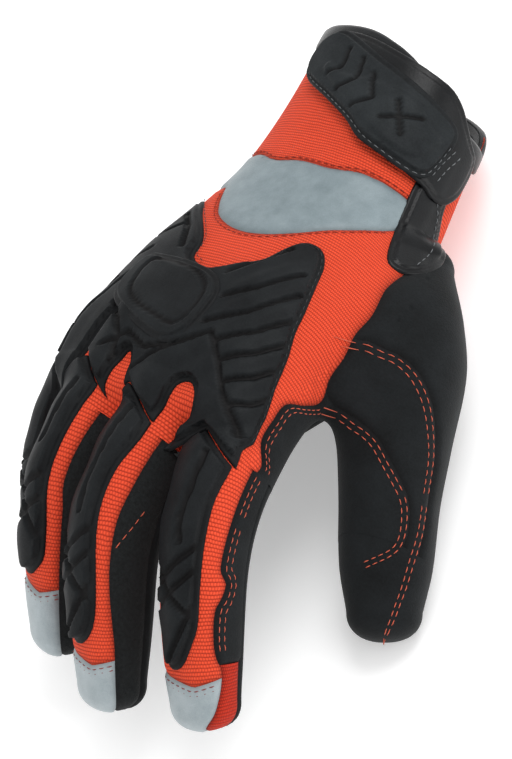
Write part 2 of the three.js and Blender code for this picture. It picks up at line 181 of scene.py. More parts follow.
hand = Limb(
    base=np.array([0, 118, 31.5]), heading=0, roll=0, tip=11, power=2.5,
    pitch=[(0, 0), (45, -4), (75, -18), (120, -20), (150, -14), (165, -8)],
    size=[(0, 33, 22, 24, -2), (30, 34, 22.5, 25, -1), (58, 37, 25, 28.6, 1), (80, 43, 25, 28, 3),
          (110, 46.5, 24, 25, 5), (136, 46, 20, 20, 4), (148, 43, 16, 16, 3)],
)
# at: the knuckle, on the hand's line, to the side and up. crotch: where the finger leaves its neighbours.
FINGERS = {
    "index": dict(at=(143, 38, -4), heading=11, roll=7, length=102, half=12.6, root=21, mid=47, crotch=21,
                  pitch=[(-30, -10), (0, -10), (20, -4), (45, 17), (60, 29), (80, 35), (105, 42)]),
    "middle": dict(at=(146, 11.5, -1), heading=6, roll=18, length=105, half=12.9, root=20, mid=48, crotch=21,
                   pitch=[(-30, -15), (0, -15), (20, -9), (48, 15), (62, 32), (85, 36), (112, 44)]),
    "ring": dict(at=(139, -13.7, 1), heading=0.7, roll=21, length=100, half=12.3, root=24, mid=50, crotch=24,
                 pitch=[(-30, -14), (0, -14), (20, -7), (44, 17), (58, 32), (80, 39), (106, 48)]),
    "pinky": dict(at=(131, -35.5, -7), heading=-4, roll=25, length=80, half=11.4, root=26, mid=45, crotch=24,
                  pitch=[(-30, -8), (0, -8), (18, 4), (36, 24), (50, 38), (66, 45), (90, 54)]),
}
limbs = {}
for name, f in FINGERS.items():
    end, half = f["length"], f["half"]
    rows = [(-26, 1, 1.05), (0, 1.06, 1.1), (35, 1.02, 1.04), (end - 40, 0.99, 0.97), (end - 22, 0.93, 0.88),
            (end - 9, 0.85, 0.76)]
    limbs[name] = Limb(
        hand.place(*f["at"]), f["heading"], f["roll"], f["pitch"],
        [(s, half * wide, half * high, half * high) for s, wide, high in rows], tip=9, power=2.4,
    )
thumb = Limb(
    hand.place(93, 54, -20), heading=19.5, roll=-25, tip=9, power=2.3,
    pitch=[(-36, 0), (-20, 0), (0, 6), (40, 13), (70, 17), (95, 19)],
    size=[(-36, 9, 9, 9), (-18, 16, 16, 16), (0, 19.5, 18, 18), (26, 17.5, 16.5, 16.5), (45, 15.5, 14.8, 14.8),
          (66, 14.2, 12.8, 12.8), (80, 11.5, 10, 10)],
)
limbs["thumb"] = thumb


def melted(a, b, reach):
    """The lower of two distances, with the corner between them filled over reach."""
    share = np.clip(0.5 + 0.5 * (b - a) / reach, 0, 1)
    return b * (1 - share) + a * share - reach * share * (1 - share)


def outside_shell(points):
    fingers = np.min([limbs[name].outside(points) for name in FINGERS], 0)
    return melted(melted(hand.outside(points), fingers, 5), thumb.outside(points), 13)


def outward(points):
    """The shell's direction out, at points near it, and how steeply the distance grows there."""
    steps = np.eye(3) * 0.05
    steep = np.stack([outside_shell(points + d) - outside_shell(points - d) for d in steps], 1) / 0.1
    length = np.linalg.norm(steep, axis=1)
    return steep / length[:, None], length


def onto_shell(points):
    for _ in range(2):
        away, steep = outward(points)
        points = points - away * (outside_shell(points) / np.maximum(steep, 0.25))[:, None]
    return points


def finer(values, axis, coarse, count):
    """values on a grid, read at count points that are coarse times closer along one axis."""
    at = np.minimum(np.arange(count) * coarse, values.shape[axis] - 1.001)
    k = at.astype(int)
    shape = [1, 1, 1]
    shape[axis] = count
    u = (at - k).reshape(shape)
    return values.take(k, axis) * (1 - u) + values.take(k + 1, axis) * u


def shell_mesh(step):
    """Points and triangles of the whole shell's surface, one point for each grid cell that it crosses."""
    low, high = np.array([-64, -130, -14.0]), np.array([98, 128, 90.0])
    rough = 4.0
    counts = np.ceil((high - low) / rough).astype(int) + 1
    grid = np.stack(np.meshgrid(*[low[i] + np.arange(counts[i]) * rough for i in range(3)], indexing="ij"), -1)
    values = outside_shell(grid.reshape(-1, 3)).reshape(counts)
    fine = ((high - low) / step).astype(int)
    for axis in range(3):
        values = finer(values, axis, step / rough, fine[axis])
    near = abs(values) < 3.2
    values[near] = outside_shell(np.argwhere(near) * step + low)
    inside = values < 0
    corners = [(i, j, k) for i in (0, 1) for j in (0, 1) for k in (0, 1)]
    a, b, c = fine - 1
    filled = sum(inside[i : i + a, j : j + b, k : k + c].astype(int) for i, j, k in corners)
    cells = np.argwhere((filled > 0) & (filled < 8))
    number = -np.ones(filled.shape, int)
    number[tuple(cells.T)] = np.arange(len(cells))
    total, crossings = np.zeros((len(cells), 3)), np.zeros(len(cells))
    for corner in corners:
        for axis in range(3):
            if corner[axis]:
                continue
            other = np.array(corner)
            other[axis] = 1
            a, b = values[tuple((cells + corner).T)], values[tuple((cells + other).T)]
            crossed = (a < 0) != (b < 0)
            spot = np.tile(np.array(corner, float), (len(cells), 1))
            spot[:, axis] += np.where(crossed, a / np.where(crossed, a - b, 1), 0)
            total += spot * crossed[:, None]
            crossings += crossed
    points = (cells + total / crossings[:, None]) * step + low
    quads = []
    for axis in range(3):
        first, second = [slice(None)] * 3, [slice(None)] * 3
        first[axis], second[axis] = slice(0, -1), slice(1, None)
        edges = np.argwhere(inside[tuple(first)] != inside[tuple(second)])
        u, w = [(1, 2), (2, 0), (0, 1)][axis]
        ring = []
        for du, dw in ((1, 1), (0, 1), (0, 0), (1, 0)):
            cell = edges.copy()
            cell[:, u] -= du
            cell[:, w] -= dw
            ring.append(number[tuple(cell.T)])
        ring = np.stack(ring, 1)
        ring[~inside[tuple(edges.T)]] = ring[~inside[tuple(edges.T)]][:, ::-1]
        quads.append(ring)
    quads = np.concatenate(quads)
    return onto_shell(points), np.concatenate([quads[:, [0, 1, 2]], quads[:, [0, 2, 3]]])


def slit(mesh, edge):
    """Cuts a mesh's triangles along the line where edge is 0. Gives the mesh, and which triangles are over 0."""
    points, triangles = mesh
    edge = np.where(abs(edge) < 0.06, 0, edge)
    sign = np.sign(edge).astype(int)[triangles]
    mixed = (sign.max(1) > 0) & (sign.min(1) < 0)
    kept, over = [triangles[~mixed]], [sign[~mixed].sum(1) > 0]
    split, sign = triangles[mixed], sign[mixed]
    on_line = (sign == 0).any(1)
    alone = np.where(on_line, (sign == 0).argmax(1), (sign == -np.sign(sign.sum(1))[:, None]).argmax(1))
    turn = (alone[:, None] + np.arange(3)) % 3
    split, sign = np.take_along_axis(split, turn, 1), np.take_along_axis(sign, turn, 1)
    pairs = [split[on_line][:, [1, 2]], split[~on_line][:, [0, 1]], split[~on_line][:, [0, 2]]]
    sizes = np.cumsum([len(p) for p in pairs])[:2]
    ends, which = np.unique(np.sort(np.concatenate(pairs), 1), axis=0, return_inverse=True)
    share = (edge[ends[:, 0]] / (edge[ends[:, 0]] - edge[ends[:, 1]]))[:, None]
    made = points[ends[:, 0]] * (1 - share) + points[ends[:, 1]] * share
    middle, near_one, near_two = np.split(which.ravel() + len(points), sizes)
    o, a, b = split[on_line].T
    kept += [np.stack([o, a, middle], 1), np.stack([o, middle, b], 1)]
    over += [sign[on_line][:, 1] > 0, sign[on_line][:, 2] > 0]
    o, a, b = split[~on_line].T
    for corners in ([o, near_one, near_two], [near_one, a, b], [near_one, b, near_two]):
        kept.append(np.stack(corners, 1))
    over += [sign[~on_line][:, 0] > 0, sign[~on_line][:, 0] < 0, sign[~on_line][:, 0] < 0]
    return (np.concatenate([points, made]), np.concatenate(kept)), np.concatenate(over)


def only(mesh, chosen):
    """The mesh of the chosen triangles alone."""
    points, triangles = mesh
    used, triangles = np.unique(triangles[chosen], return_inverse=True)
    return points[used], triangles.reshape(-1, 3)


def split_by(mesh, edge):
    """The part of a mesh where edge(points) is over 0, and the rest."""
    mesh, over = slit(mesh, edge(mesh[0]))
    return only(mesh, over), only(mesh, ~over)


shell = shell_mesh(1.3)
tilt_x, tilt_y = np.radians([3.5, -8.6])
rest_shift = [-14.16, 2.14, -5.8]
lean_x = np.array([[1, 0, 0], [0, np.cos(tilt_x), -np.sin(tilt_x)], [0, np.sin(tilt_x), np.cos(tilt_x)]])
lean_y = np.array([[np.cos(tilt_y), 0, np.sin(tilt_y)], [0, 1, 0], [-np.sin(tilt_y), 0, np.cos(tilt_y)]])


def standing(points):
    """Points in metres, with the glove tilted to rest on its heel, its thumb and its little finger."""
    return (points @ (lean_x @ lean_y).T + rest_shift) / 1000


def smooth(low, high, value):
    t = np.clip((value - low) / (high - low), 0, 1)
    return t * t * (3 - 2 * t)


def off_line(flat, a, b):
    """The distance from flat points to the line between two others."""
    along = np.clip((flat - a) @ (b - a) / ((b - a) @ (b - a)), 0, 1)
    return np.linalg.norm(flat - a - along[:, None] * (b - a), axis=1)


def within(flat, outline):
    """The distance inside a closed outline of points on a flattened panel. It is under 0 outside."""
    ends = np.array(outline, float)
    nearest, crossings = np.full(len(flat), 1e9), np.zeros(len(flat), int)
    for a, b in zip(ends, np.roll(ends, -1, 0)):
        nearest = np.minimum(nearest, off_line(flat, a, b))
        if a[1] != b[1]:
            spans = (flat[:, 1] < a[1]) != (flat[:, 1] < b[1])
            crossings += spans & (flat[:, 0] < a[0] + (flat[:, 1] - a[1]) * (b - a)[0] / (b - a)[1])
    return np.where(crossings % 2 == 1, nearest, -nearest)


def rounded(outline, closed=True):
    """An outline's points with smooth curves through them."""
    ends = np.array(outline, float)
    count = len(ends)
    loop = []
    for i in range(count if closed else count - 1):
        if closed:
            p, q, r, t = ends[(np.arange(i - 1, i + 3)) % count]
        else:
            p, q, r, t = ends[np.clip(np.arange(i - 1, i + 3), 0, count - 1)]
        for u in np.arange(0, 1, 0.2):
            bend = 2 * p - 5 * q + 4 * r - t
            loop.append(0.5 * (2 * q + (r - p) * u + bend * u**2 + (3 * q - p - 3 * r + t) * u**3))
    return np.array(loop if closed else [*loop, ends[-1]])


def solid(name, points, faces, material, slot, flat=None, seam=None):
    """A piece of the glove from points in metres, with its flattened coordinates and its painted seam shade."""
    mesh = bpy.data.meshes.new(name)
    mesh.from_pydata(points.tolist(), [], faces.tolist())
    mesh.polygons.foreach_set("use_smooth", np.ones(len(mesh.polygons), bool))
    if flat is not None:
        corner = np.zeros(len(mesh.loops), int)
        mesh.loops.foreach_get("vertex_index", corner)
        mesh.uv_layers.new(name="cloth").data.foreach_set("uv", flat[corner].astype(np.float32).ravel())
    # seam is painted shade, stored on the points for the materials to darken the colour.
    if seam is not None:
        mesh.attributes.new("seam", "FLOAT", "POINT").data.foreach_set("value", seam.astype(np.float32))
    mesh.materials.append(material)
    made = bpy.data.objects.new(name, mesh)
    bpy.context.scene.collection.objects.link(made)
    return made


def panel(name, mesh, flat, seam, lift, material, slot):
    """A sewn panel: it stands lift mm off the shell and dips into its seams. seam is the distance to them."""
    points, triangles = mesh
    rise = lift * (1 - np.exp(-((seam / 0.8) ** 2))) - 0.45 * np.exp(-((seam / 1.1) ** 2))
    raised = points + outward(points)[0] * rise[:, None]
    # The last value is painted seam shade: the colour darkens towards the seams.
    return solid(name, standing(raised), triangles, material, slot, flat, np.exp(-np.clip(seam, 0, 20) / 0.9))


def node(tree, kind, settings=(), **inputs):
    """A node with its inputs set, or linked where the value is another node's output."""
    made = tree.nodes.new("ShaderNode" + kind)
    for key, value in dict(settings).items():
        setattr(made, key, value)
    for key, value in inputs.items():
        socket = made.inputs[int(key[1:])] if key[1:].isdigit() else made.inputs[key.replace("_", " ")]
        if isinstance(value, bpy.types.NodeSocket):
            tree.links.new(value, socket)
        else:
            socket.default_value = value
    return made


def maths(tree, how, a, b=0.0, c=0.0):
    return node(tree, "Math", {"operation": how}, i0=a, i1=b, i2=c).outputs[0]


def effect(name, inputs, outputs):
    """An empty node group with named number, colour or vector inputs and outputs."""
    kinds = {"number": "NodeSocketFloat", "colour": "NodeSocketColor", "vector": "NodeSocketVector"}
    tree = bpy.data.node_groups.new(name, "ShaderNodeTree")
    for label, kind, value in inputs:
        socket = tree.interface.new_socket(label, in_out="INPUT", socket_type=kinds[kind])
        if value is not None:
            socket.default_value = value
    for label, kind in outputs:
        tree.interface.new_socket(label, in_out="OUTPUT", socket_type=kinds[kind])
    return tree, tree.nodes.new("NodeGroupInput").outputs, tree.nodes.new("NodeGroupOutput").inputs


def use(tree, group, **inputs):
    placed = tree.nodes.new("ShaderNodeGroup")
    placed.node_tree = group
    for key, value in inputs.items():
        if isinstance(value, bpy.types.NodeSocket):
            tree.links.new(value, placed.inputs[key])
        else:
            placed.inputs[key].default_value = value
    return placed.outputs


def finish_of(name, roughness, specular, sheen=0.0):
    """A new material, its tree and its shader, with the plain numbers set on the shader itself."""
    material = bpy.data.materials.new(name)
    material.use_nodes = True
    shader = material.node_tree.nodes["Principled BSDF"]
    shader.inputs["Roughness"].default_value = roughness
    shader.inputs["Sheen Weight"].default_value = sheen
    shader.inputs["Specular IOR Level"].default_value = specular
    return material, material.node_tree, shader


def tint(colour):
    """A colour given as it looks on a screen, 0 to 255, as the shader wants it."""
    part = np.array(colour) / 255
    return (*np.where(part < 0.04045, part / 12.92, ((part + 0.055) / 1.055) ** 2.4), 1)


def spread(tree, value, low, high, to_low=0.0, to_high=1.0):
    """A value's range from low to high, stretched to another one."""
    given = dict(Value=value, From_Min=low, From_Max=high, To_Min=to_low, To_Max=to_high)
    return node(tree, "MapRange", **given).outputs[0]


# Woven threads that cross over and under: ribs a Rib apart, crossed every Cross, in mm.
weave, given, put = effect(
    "weave",
    [("Cloth", "vector", None), ("Rib", "number", 1.15), ("Cross", "number", 0.95)],
    [("Height", "number"), ("Shade", "number")],
)
wander = node(weave, "TexNoise", Vector=given["Cloth"], Scale=0.12, Detail=1.0).outputs["Fac"]
flat_xy = node(weave, "SeparateXYZ", Vector=given["Cloth"]).outputs
across = maths(weave, "DIVIDE", maths(weave, "ADD", flat_xy[0], wander), given["Cross"])
ribs = maths(weave, "DIVIDE", maths(weave, "ADD", flat_xy[1], wander), given["Rib"])
odd = maths(weave, "PINGPONG", maths(weave, "FLOOR", ribs), 1.0)
shifted = maths(weave, "ADD", across, maths(weave, "MULTIPLY", odd, 0.5))
thread = maths(weave, "ABSOLUTE", maths(weave, "SINE", maths(weave, "MULTIPLY", shifted, np.pi)))
rib = maths(weave, "ABSOLUTE", maths(weave, "SINE", maths(weave, "MULTIPLY", ribs, np.pi)))
high = maths(weave, "MULTIPLY", maths(weave, "POWER", rib, 0.6), maths(weave, "MULTIPLY_ADD", thread, 0.55, 0.45))
weave.links.new(high, put["Height"])
# Shade is Height again: the colour is painted darker in the low places between the threads, as painted shade.
weave.links.new(high, put["Shade"])

# Fine raised fibres with larger brushed patches.
nap, given, put = effect(
    "nap", [("Fibre", "number", 1400.0), ("Patch", "number", 60.0)], [("Height", "number"), ("Shade", "number")]
)
place = node(nap, "TexCoord").outputs["Object"]
fibre = node(nap, "TexNoise", Vector=place, Scale=given["Fibre"], Detail=3.0, Roughness=0.7).outputs["Fac"]
patch = node(nap, "TexNoise", Vector=place, Scale=given["Patch"], Detail=4.0, Roughness=0.6).outputs["Fac"]
nap.links.new(fibre, put["Height"])
nap.links.new(maths(nap, "MULTIPLY_ADD", fibre, 0.4, maths(nap, "MULTIPLY", patch, 0.6)), put["Shade"])

# A colour that runs between two tones by a mask, and is darkened into the seams with painted shade.
sewn, given, put = effect(
    "tone_and_seam_shade",
    [("Low", "colour", None), ("High", "colour", None), ("Mask", "number", 0.5), ("Seam", "number", 0.0),
     ("Fold", "number", 0.6)],
    [("Colour", "colour")],
)
tones = node(sewn, "Mix", {"data_type": "RGBA"}, Factor=given["Mask"], i6=given["Low"], i7=given["High"]).outputs[2]
shadow = maths(sewn, "MULTIPLY", given["Seam"], given["Fold"])
# Painted shade: near black is mixed in by the seam shade, at seams, grooves and rims.
dark = node(sewn, "Mix", {"data_type": "RGBA"}, Factor=shadow, i6=tones, i7=(0.003, 0.002, 0.002, 1)).outputs[2]
sewn.links.new(dark, put["Colour"])


def dress(tree, shader, low, high, mask, height, strength, distance, seam_shade_strength):
    """Gives a shader its colour, between two tones by a mask and darker in the seams with painted shade, and its
    relief.
    """
    # The seam attribute is painted shade from the mesh, darkest at seams, grooves and rims.
    seam = node(tree, "Attribute", {"attribute_name": "seam"}).outputs["Fac"]
    tone = use(tree, sewn, Low=tint(low), High=tint(high), Mask=mask, Seam=seam, Fold=seam_shade_strength)["Colour"]
    tree.links.new(tone, shader.inputs["Base Color"])
    bump = node(tree, "Bump", Strength=strength, Distance=distance, Height=height).outputs[0]
    tree.links.new(bump, shader.inputs["Normal"])


def knit(name, low, high, rib=1.15, cross=0.95):
    """Ribbed stretch cloth: matt threads with painted shade between the ribs and in the seams, and a faint sheen.
    """
    material, tree, shader = finish_of(name, roughness=0.78, specular=0.15, sheen=0.03)
    cloth = node(tree, "UVMap", {"uv_map": "cloth"}).outputs["UV"]
    threads = use(tree, weave, Cloth=cloth, Rib=rib, Cross=cross)
    brushed = use(tree, nap, Fibre=900.0, Patch=35.0)
    # The mask mixes painted shade between the threads with the nap's random tone.
    mask = maths(tree, "MULTIPLY_ADD", threads["Shade"], 0.75, maths(tree, "MULTIPLY", brushed["Shade"], 0.3))
    height = maths(tree, "MULTIPLY_ADD", brushed["Height"], 0.15, threads["Height"])
    dress(tree, shader, low, high, mask, height, strength=0.8, distance=0.00045, seam_shade_strength=0.6)
    return material


def suede(name, low, high, fibre=1400.0, patch=60.0, bumps=0.00025):
    """Synthetic suede: a fine nap with brushed patches, matt and nearly black."""
    material, tree, shader = finish_of(name, roughness=0.92, specular=0.2, sheen=0.06)
    brushed = use(tree, nap, Fibre=fibre, Patch=patch)
    mask = spread(tree, brushed["Shade"], 0.35, 0.65)
    dress(tree, shader, low, high, mask, brushed["Height"], strength=0.6, distance=bumps, seam_shade_strength=0.5)
    return material


orange_knit = knit("orange_knit", (136, 20, 8), (250, 88, 54))
black_suede = suede("black_suede", (10, 12, 13), (26, 29, 31))

# ---- Cuff, back and palm panels ----
# Orange stretch cloth over the cuff and the back, a grey reflective band between them, and black suede
# below, all sewn edge to edge. The side seams run down both sides of the hand.
thumb_seam = [(40, -3), (60, 0), (74, 4), (85, 6), (97, 4), (105, 3), (112, 0), (120, -3), (126, -8), (132, -4),
              (138, 2), (145, 2), (153, 1), (159, -4), (166, -2), (178, -4)]
cuff_line = [(-70, 50), (-22, 52), (-11, 55), (0, 53), (13, 53), (23, 50), (36, 49), (70, 49)]
band_line = [(-70, 70), (-26, 71), (-20, 80), (-14, 87), (-3, 92), (9, 92), (21, 87), (32, 78), (42, 68), (49, 60),
             (60, 52)]


def side_edge(points):
    """How far points lie above the seams along the sides of the hand."""
    s, x, y = hand.local(points).T
    return np.where(x > 3, y - curve(s, thumb_seam)[:, 0], y - 1)


def over_hand(points):
    """Flattened coordinates of the back of the hand: across, going down the sides, and along."""
    s, x, y = hand.local(points).T
    drop = np.clip(20 - abs(y), 0, None) * smooth(25, 42, abs(x - 3))
    return np.stack([x + np.sign(x) * drop, s], 1)


def cuff_edge(points):
    s, x, _ = hand.local(points).T
    return curve(x, cuff_line)[:, 0] - s


def band_edge(points):
    flat = over_hand(points)
    return (curve(flat[:, 0], band_line)[:, 0] - flat[:, 1]) * 0.8


fingers, rest = {}, shell
for name, f in FINGERS.items():

    def own_finger(points):
        away = {other: limbs[other].outside(points) for other in FINGERS}
        own = away.pop(name)
        return np.minimum(limbs[name].local(points)[:, 0] - f["crotch"], np.min(list(away.values()), 0) - own)

    fingers[name], rest = split_by(rest, own_finger)


def opening_edge(points):
    """How far past the cuff's open end, which is cut back on the thumb's side."""
    s, x, _ = hand.local(points).T
    return s - opening(x)


def opening(x):
    return curve(x, [(-40, 0.6), (-9, 0.6), (12, 4), (22, 7), (27, 10), (30, 14), (32.5, 19), (36, 20)])[..., 0]


def thumb_side(points):
    return np.minimum(thumb.local(points)[:, 0] - 30, hand.outside(points) - thumb.outside(points))


rest, _ = split_by(rest, opening_edge)
thumb_shell, rest = split_by(rest, thumb_side)
upper, lower = split_by(rest, side_edge)
cuff_back, upper = split_by(upper, cuff_edge)
band, back = split_by(upper, band_edge)
cuff_palm, palm = split_by(lower, lambda p: 55 - hand.local(p)[:, 0])


def reflective(name, low, high):
    """Grey cloth coated with fine glass beads: a faint sparkle, and smoother than the rest."""
    material, tree, shader = finish_of(name, roughness=0.42, specular=0.6)
    beads = use(tree, nap, Fibre=2600.0, Patch=160.0)
    glint = spread(tree, beads["Shade"], 0.25, 0.75)
    dress(tree, shader, low, high, glint, beads["Height"], strength=0.5, distance=0.0002, seam_shade_strength=0.35)
    return material


sheeting = reflective("reflective_cloth", (96, 111, 116), (134, 148, 153))
cap_sheeting = reflective("reflective_cap_cloth", (130, 142, 146), (166, 176, 180))

for name, mesh, edges, lift, cloth, slot, stands_for in [
    ("cuff_back_cloth", cuff_back, [cuff_edge, side_edge], 0.0, orange_knit, "orange_knit", "cuff_back"),
    ("reflective_band", band, [lambda p: -cuff_edge(p), band_edge, side_edge], 0.3, sheeting, "reflective_fabric",
     "reflective_panel"),
    ("back_cloth", back, [lambda p: -band_edge(p), side_edge], 0.0, orange_knit, "orange_knit", "back_panel"),
    ("cuff_palm_cloth", cuff_palm, [lambda p: -side_edge(p), lambda p: 55 - hand.local(p)[:, 0]], 0.0, orange_knit,
     "orange_knit", "cuff_palm"),
]:
    seam = np.min([edge(mesh[0]) for edge in edges], 0)
    made = panel(name, mesh, over_hand(mesh[0]), seam, lift, cloth, slot)
    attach(made, "hand")
    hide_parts(stands_for)

# ---- Finger panels ----
# Each finger has an orange back, a grey reflective cap sewn over its end, black mesh between the fingers
# and black suede underneath. The index finger's outer side is covered by the saddle patch instead.
EDGE_OF = {
    "index": [(20, 8), (26, 10), (37, 14), (48, 19), (53, 19), (56, 9), (60, 14), (64, 25), (74, 27), (79, 22),
              (82, 14), (87, 15), (91, 20), (96, 31), (102, 52), (112, 62)],
    "middle": [(20, 22), (36, 29), (46, 35), (54, 35), (65, 33), (76, 28), (84, 24), (112, 22)],
    "ring": [(20, 28), (44, 38), (53, 30), (72, 27), (112, 24)],
    "pinky": [(20, 26), (112, 24)],
}
CAP_OF = {"index": 84, "middle": 86, "ring": 75, "pinky": 62}
air_mesh = suede("air_mesh", (10, 12, 12), (30, 33, 34), fibre=2200.0, patch=900.0, bumps=0.0004)
dark_knit = knit("side_knit", (120, 18, 8), (206, 52, 28), rib=1.0, cross=0.8)


def round_finger(points):
    """Coordinates round a finger: along it, and the angle from its thumb side in degrees, -90 to 270."""
    s, x, y = limbs[name].local(points).T
    angle = np.degrees(np.arctan2(y, x))
    return s, np.where(angle < -90, angle + 360, angle)


def flat_finger(points):
    s, angle = round_finger(points)
    return np.stack([np.radians(angle - 90) * FINGERS[name]["half"], s], 1)


def outer_edge(points):
    """How far up from the seam on the thumb's side of the finger."""
    s, angle = round_finger(points)
    return np.radians(angle - curve(s, EDGE_OF[name])[:, 0]) * FINGERS[name]["half"]


def inner_edge(points):
    """How far up from the seam on the far side of the finger."""
    s, angle = round_finger(points)
    return np.radians(155 - angle) * FINGERS[name]["half"]


def lower_edge(points):
    """How far under the lower seams of the finger's sides."""
    s, angle = round_finger(points)
    return np.radians(np.where(angle < 90, -26 - angle, angle - 206)) * FINGERS[name]["half"]


def back_edge(points):
    s, angle = round_finger(points)
    return np.where(angle < 90, outer_edge(points), inner_edge(points))


def cap_edge(points):
    s, angle = round_finger(points)
    return s - CAP_OF[name] - 3 + 3 * abs(angle - 62) / 60


def bend_at(made, knuckle):
    """Finds the ends of a finger's first crease, or its second, and bakes a piece's placement into its mesh."""
    f, limb = FINGERS.get(name, THUMB), limbs[name]
    start, end = (f["crotch"] + 1, f["crotch"] + 13) if knuckle == "root" else (f["mid"] - 7.5, f["mid"] + 6.5)
    ends = standing(limb.place(np.array([start, end]), np.zeros(2), np.zeros(2)))
    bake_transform(made)


THUMB = dict(crotch=30, mid=55, half=15.5)
# The cloth of a finger is in two pieces, which meet this far before its middle knuckle.
PARTING = 8.5
# The saddle patch ends this far along the index finger.
SADDLE_END = 80.5

for name, f in FINGERS.items():
    root, tip = split_by(fingers[name], lambda p: f["mid"] - PARTING - limbs[name].local(p)[:, 0])
    for part, whole in (("root", root), ("tip", tip)):
        top, under = split_by(whole, back_edge)
        side, sole = split_by(under, lambda p: -lower_edge(p))
        outer, inner = split_by(side, lambda p: 90 - round_finger(p)[1])
        rows = []
        if part == "tip":
            cap, top = split_by(top, cap_edge)
            rows.append(("cap", cap, [back_edge, cap_edge], 0.35, cap_sheeting, "reflective_fabric"))
            rows.append(("back", top, [back_edge, lambda p: -cap_edge(p)], 0.0, orange_knit, "orange_knit"))
        else:
            rows.append(("back", top, [back_edge], 0.0, orange_knit, "orange_knit"))
        between = [lambda p: -back_edge(p), lambda p: -lower_edge(p)]
        if name == "index":
            strip, outer = split_by(outer, lambda p: round_finger(p)[0] - SADDLE_END)
            around = [lambda p: -back_edge(p), lambda p: SADDLE_END - round_finger(p)[0]]
            rows.append(("saddle", outer, around, 0.5, black_suede, "suede"))
            rows.append(("end_strip", strip, between, 0.0, dark_knit, "orange_knit"))
        else:
            rows.append(("outer_side", outer, between, 0.0, air_mesh, "air_mesh"))
        rows.append(("inner_side", inner, between, 0.0, air_mesh, "air_mesh"))
        rows.append(("palm", sole, [lower_edge], 0.4, black_suede, "suede"))
        for kind, mesh, edges, lift, cloth, slot in rows:
            if not len(mesh[1]):
                continue
            seam = np.min([edge(mesh[0]) for edge in edges], 0)
            label = f"{name}_{kind}" if kind == "cap" else f"{name}_{part}_{kind}"
            made = panel(label + "_cloth", mesh, flat_finger(mesh[0]), seam, lift, cloth, slot)
            bend_at(made, part)
            stands_for = {"back": f"{name}_{part}_back", "palm": f"{name}_{part}_palm", "cap": f"{name}_cap",
                          "outer_side": f"{name}_outer_fourchette_{part}",
                          "inner_side": f"{name}_inner_fourchette_{part}"}.get(kind)
            if stands_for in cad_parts:
                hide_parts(stands_for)

# ---- Thumb panels ----
# Black suede all round, in a back panel and a front one, with the web patch sewn over its inner side.
name = "thumb"
thumb_outline = [(1, 128), (0.5, 112), (2, 100), (3, 88), (5, 76), (8, 64), (12, 54), (17, 45), (24, 37), (34, 30),
                 (46, 30), (57, 32), (67, 40), (76, 47), (84, 58), (91, 72), (98, 100), (98, 205), (-8, 205),
                 (-8, 140)]
patch_outline = [(14, 215), (18, 145), (22, 130), (26, 112), (30, 97), (36, 83), (41, 71), (46, 60), (51, 55),
                 (58, 55), (63, 61), (66, 73), (68, 90), (70, 112), (71, 140), (71, 215)]


def flat_thumb(points):
    s, angle = round_finger(points)
    return np.stack([np.radians(angle) * THUMB["half"], s], 1)


def edge_on_thumb(outline, reach):
    """The distance inside an outline of (s, angle) on the thumb, for points within reach of its surface."""
    scaled = [(s, np.radians(angle) * THUMB["half"]) for s, angle in outline]
    return lambda points: np.minimum(within(flat_thumb(points)[:, ::-1], scaled), reach - thumb.outside(points))


thumb_panel_edge = edge_on_thumb(thumb_outline, 13)
thumb_patch_edge = edge_on_thumb(patch_outline, 8)


def web_edge(points):
    """Inside the patch over the web between the index finger and the thumb."""
    s, x, y = hand.local(points).T
    web = np.min([s - 123, y + 17, x - 22], 0)
    return np.maximum(web, thumb_patch_edge(points))


def saddle_seam(points):
    return np.minimum(web_edge(points), -side_edge(points))


saddle, palm = split_by(palm, web_edge)
thumb_base, palm = split_by(palm, thumb_panel_edge)
palm_edges = [lambda p: -side_edge(p), lambda p: hand.local(p)[:, 0] - 55, lambda p: -web_edge(p),
              lambda p: abs(thumb_panel_edge(p))]
for label, mesh, edges, lift, stands_for in [
    ("palm_suede", palm, palm_edges, 0.4, "palm_panel"),
    ("thumb_base_suede", thumb_base, palm_edges, 0.4, None),
    ("web_saddle", saddle, [saddle_seam], 0.5, "thumb_saddle"),
]:
    seam = np.min([edge(mesh[0]) for edge in edges], 0)
    made = panel(label, mesh, over_hand(mesh[0]), seam, lift, black_suede, "suede")
    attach(made, "hand")
    if stands_for:
        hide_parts(stands_for)

root, tip = split_by(thumb_shell, lambda p: THUMB["mid"] - PARTING - thumb.local(p)[:, 0])
for part, whole in (("root", root), ("tip", tip)):
    patch, whole = split_by(whole, thumb_patch_edge)
    top, under = split_by(whole, thumb_panel_edge)
    for kind, mesh, lift in (("back", top, 0.4), ("palm", under, 0.4), ("patch", patch, 0.5)):
        seam = np.minimum(abs(thumb_panel_edge(mesh[0])), abs(thumb_patch_edge(mesh[0])))
        if kind == "patch":
            seam = thumb_patch_edge(mesh[0])
        made = panel(f"thumb_{part}_{kind}_suede", mesh, flat_thumb(mesh[0]), seam, lift, black_suede, "suede")
        bend_at(made, part)
        if kind != "patch":
            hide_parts(f"thumb_{part}_{kind}")

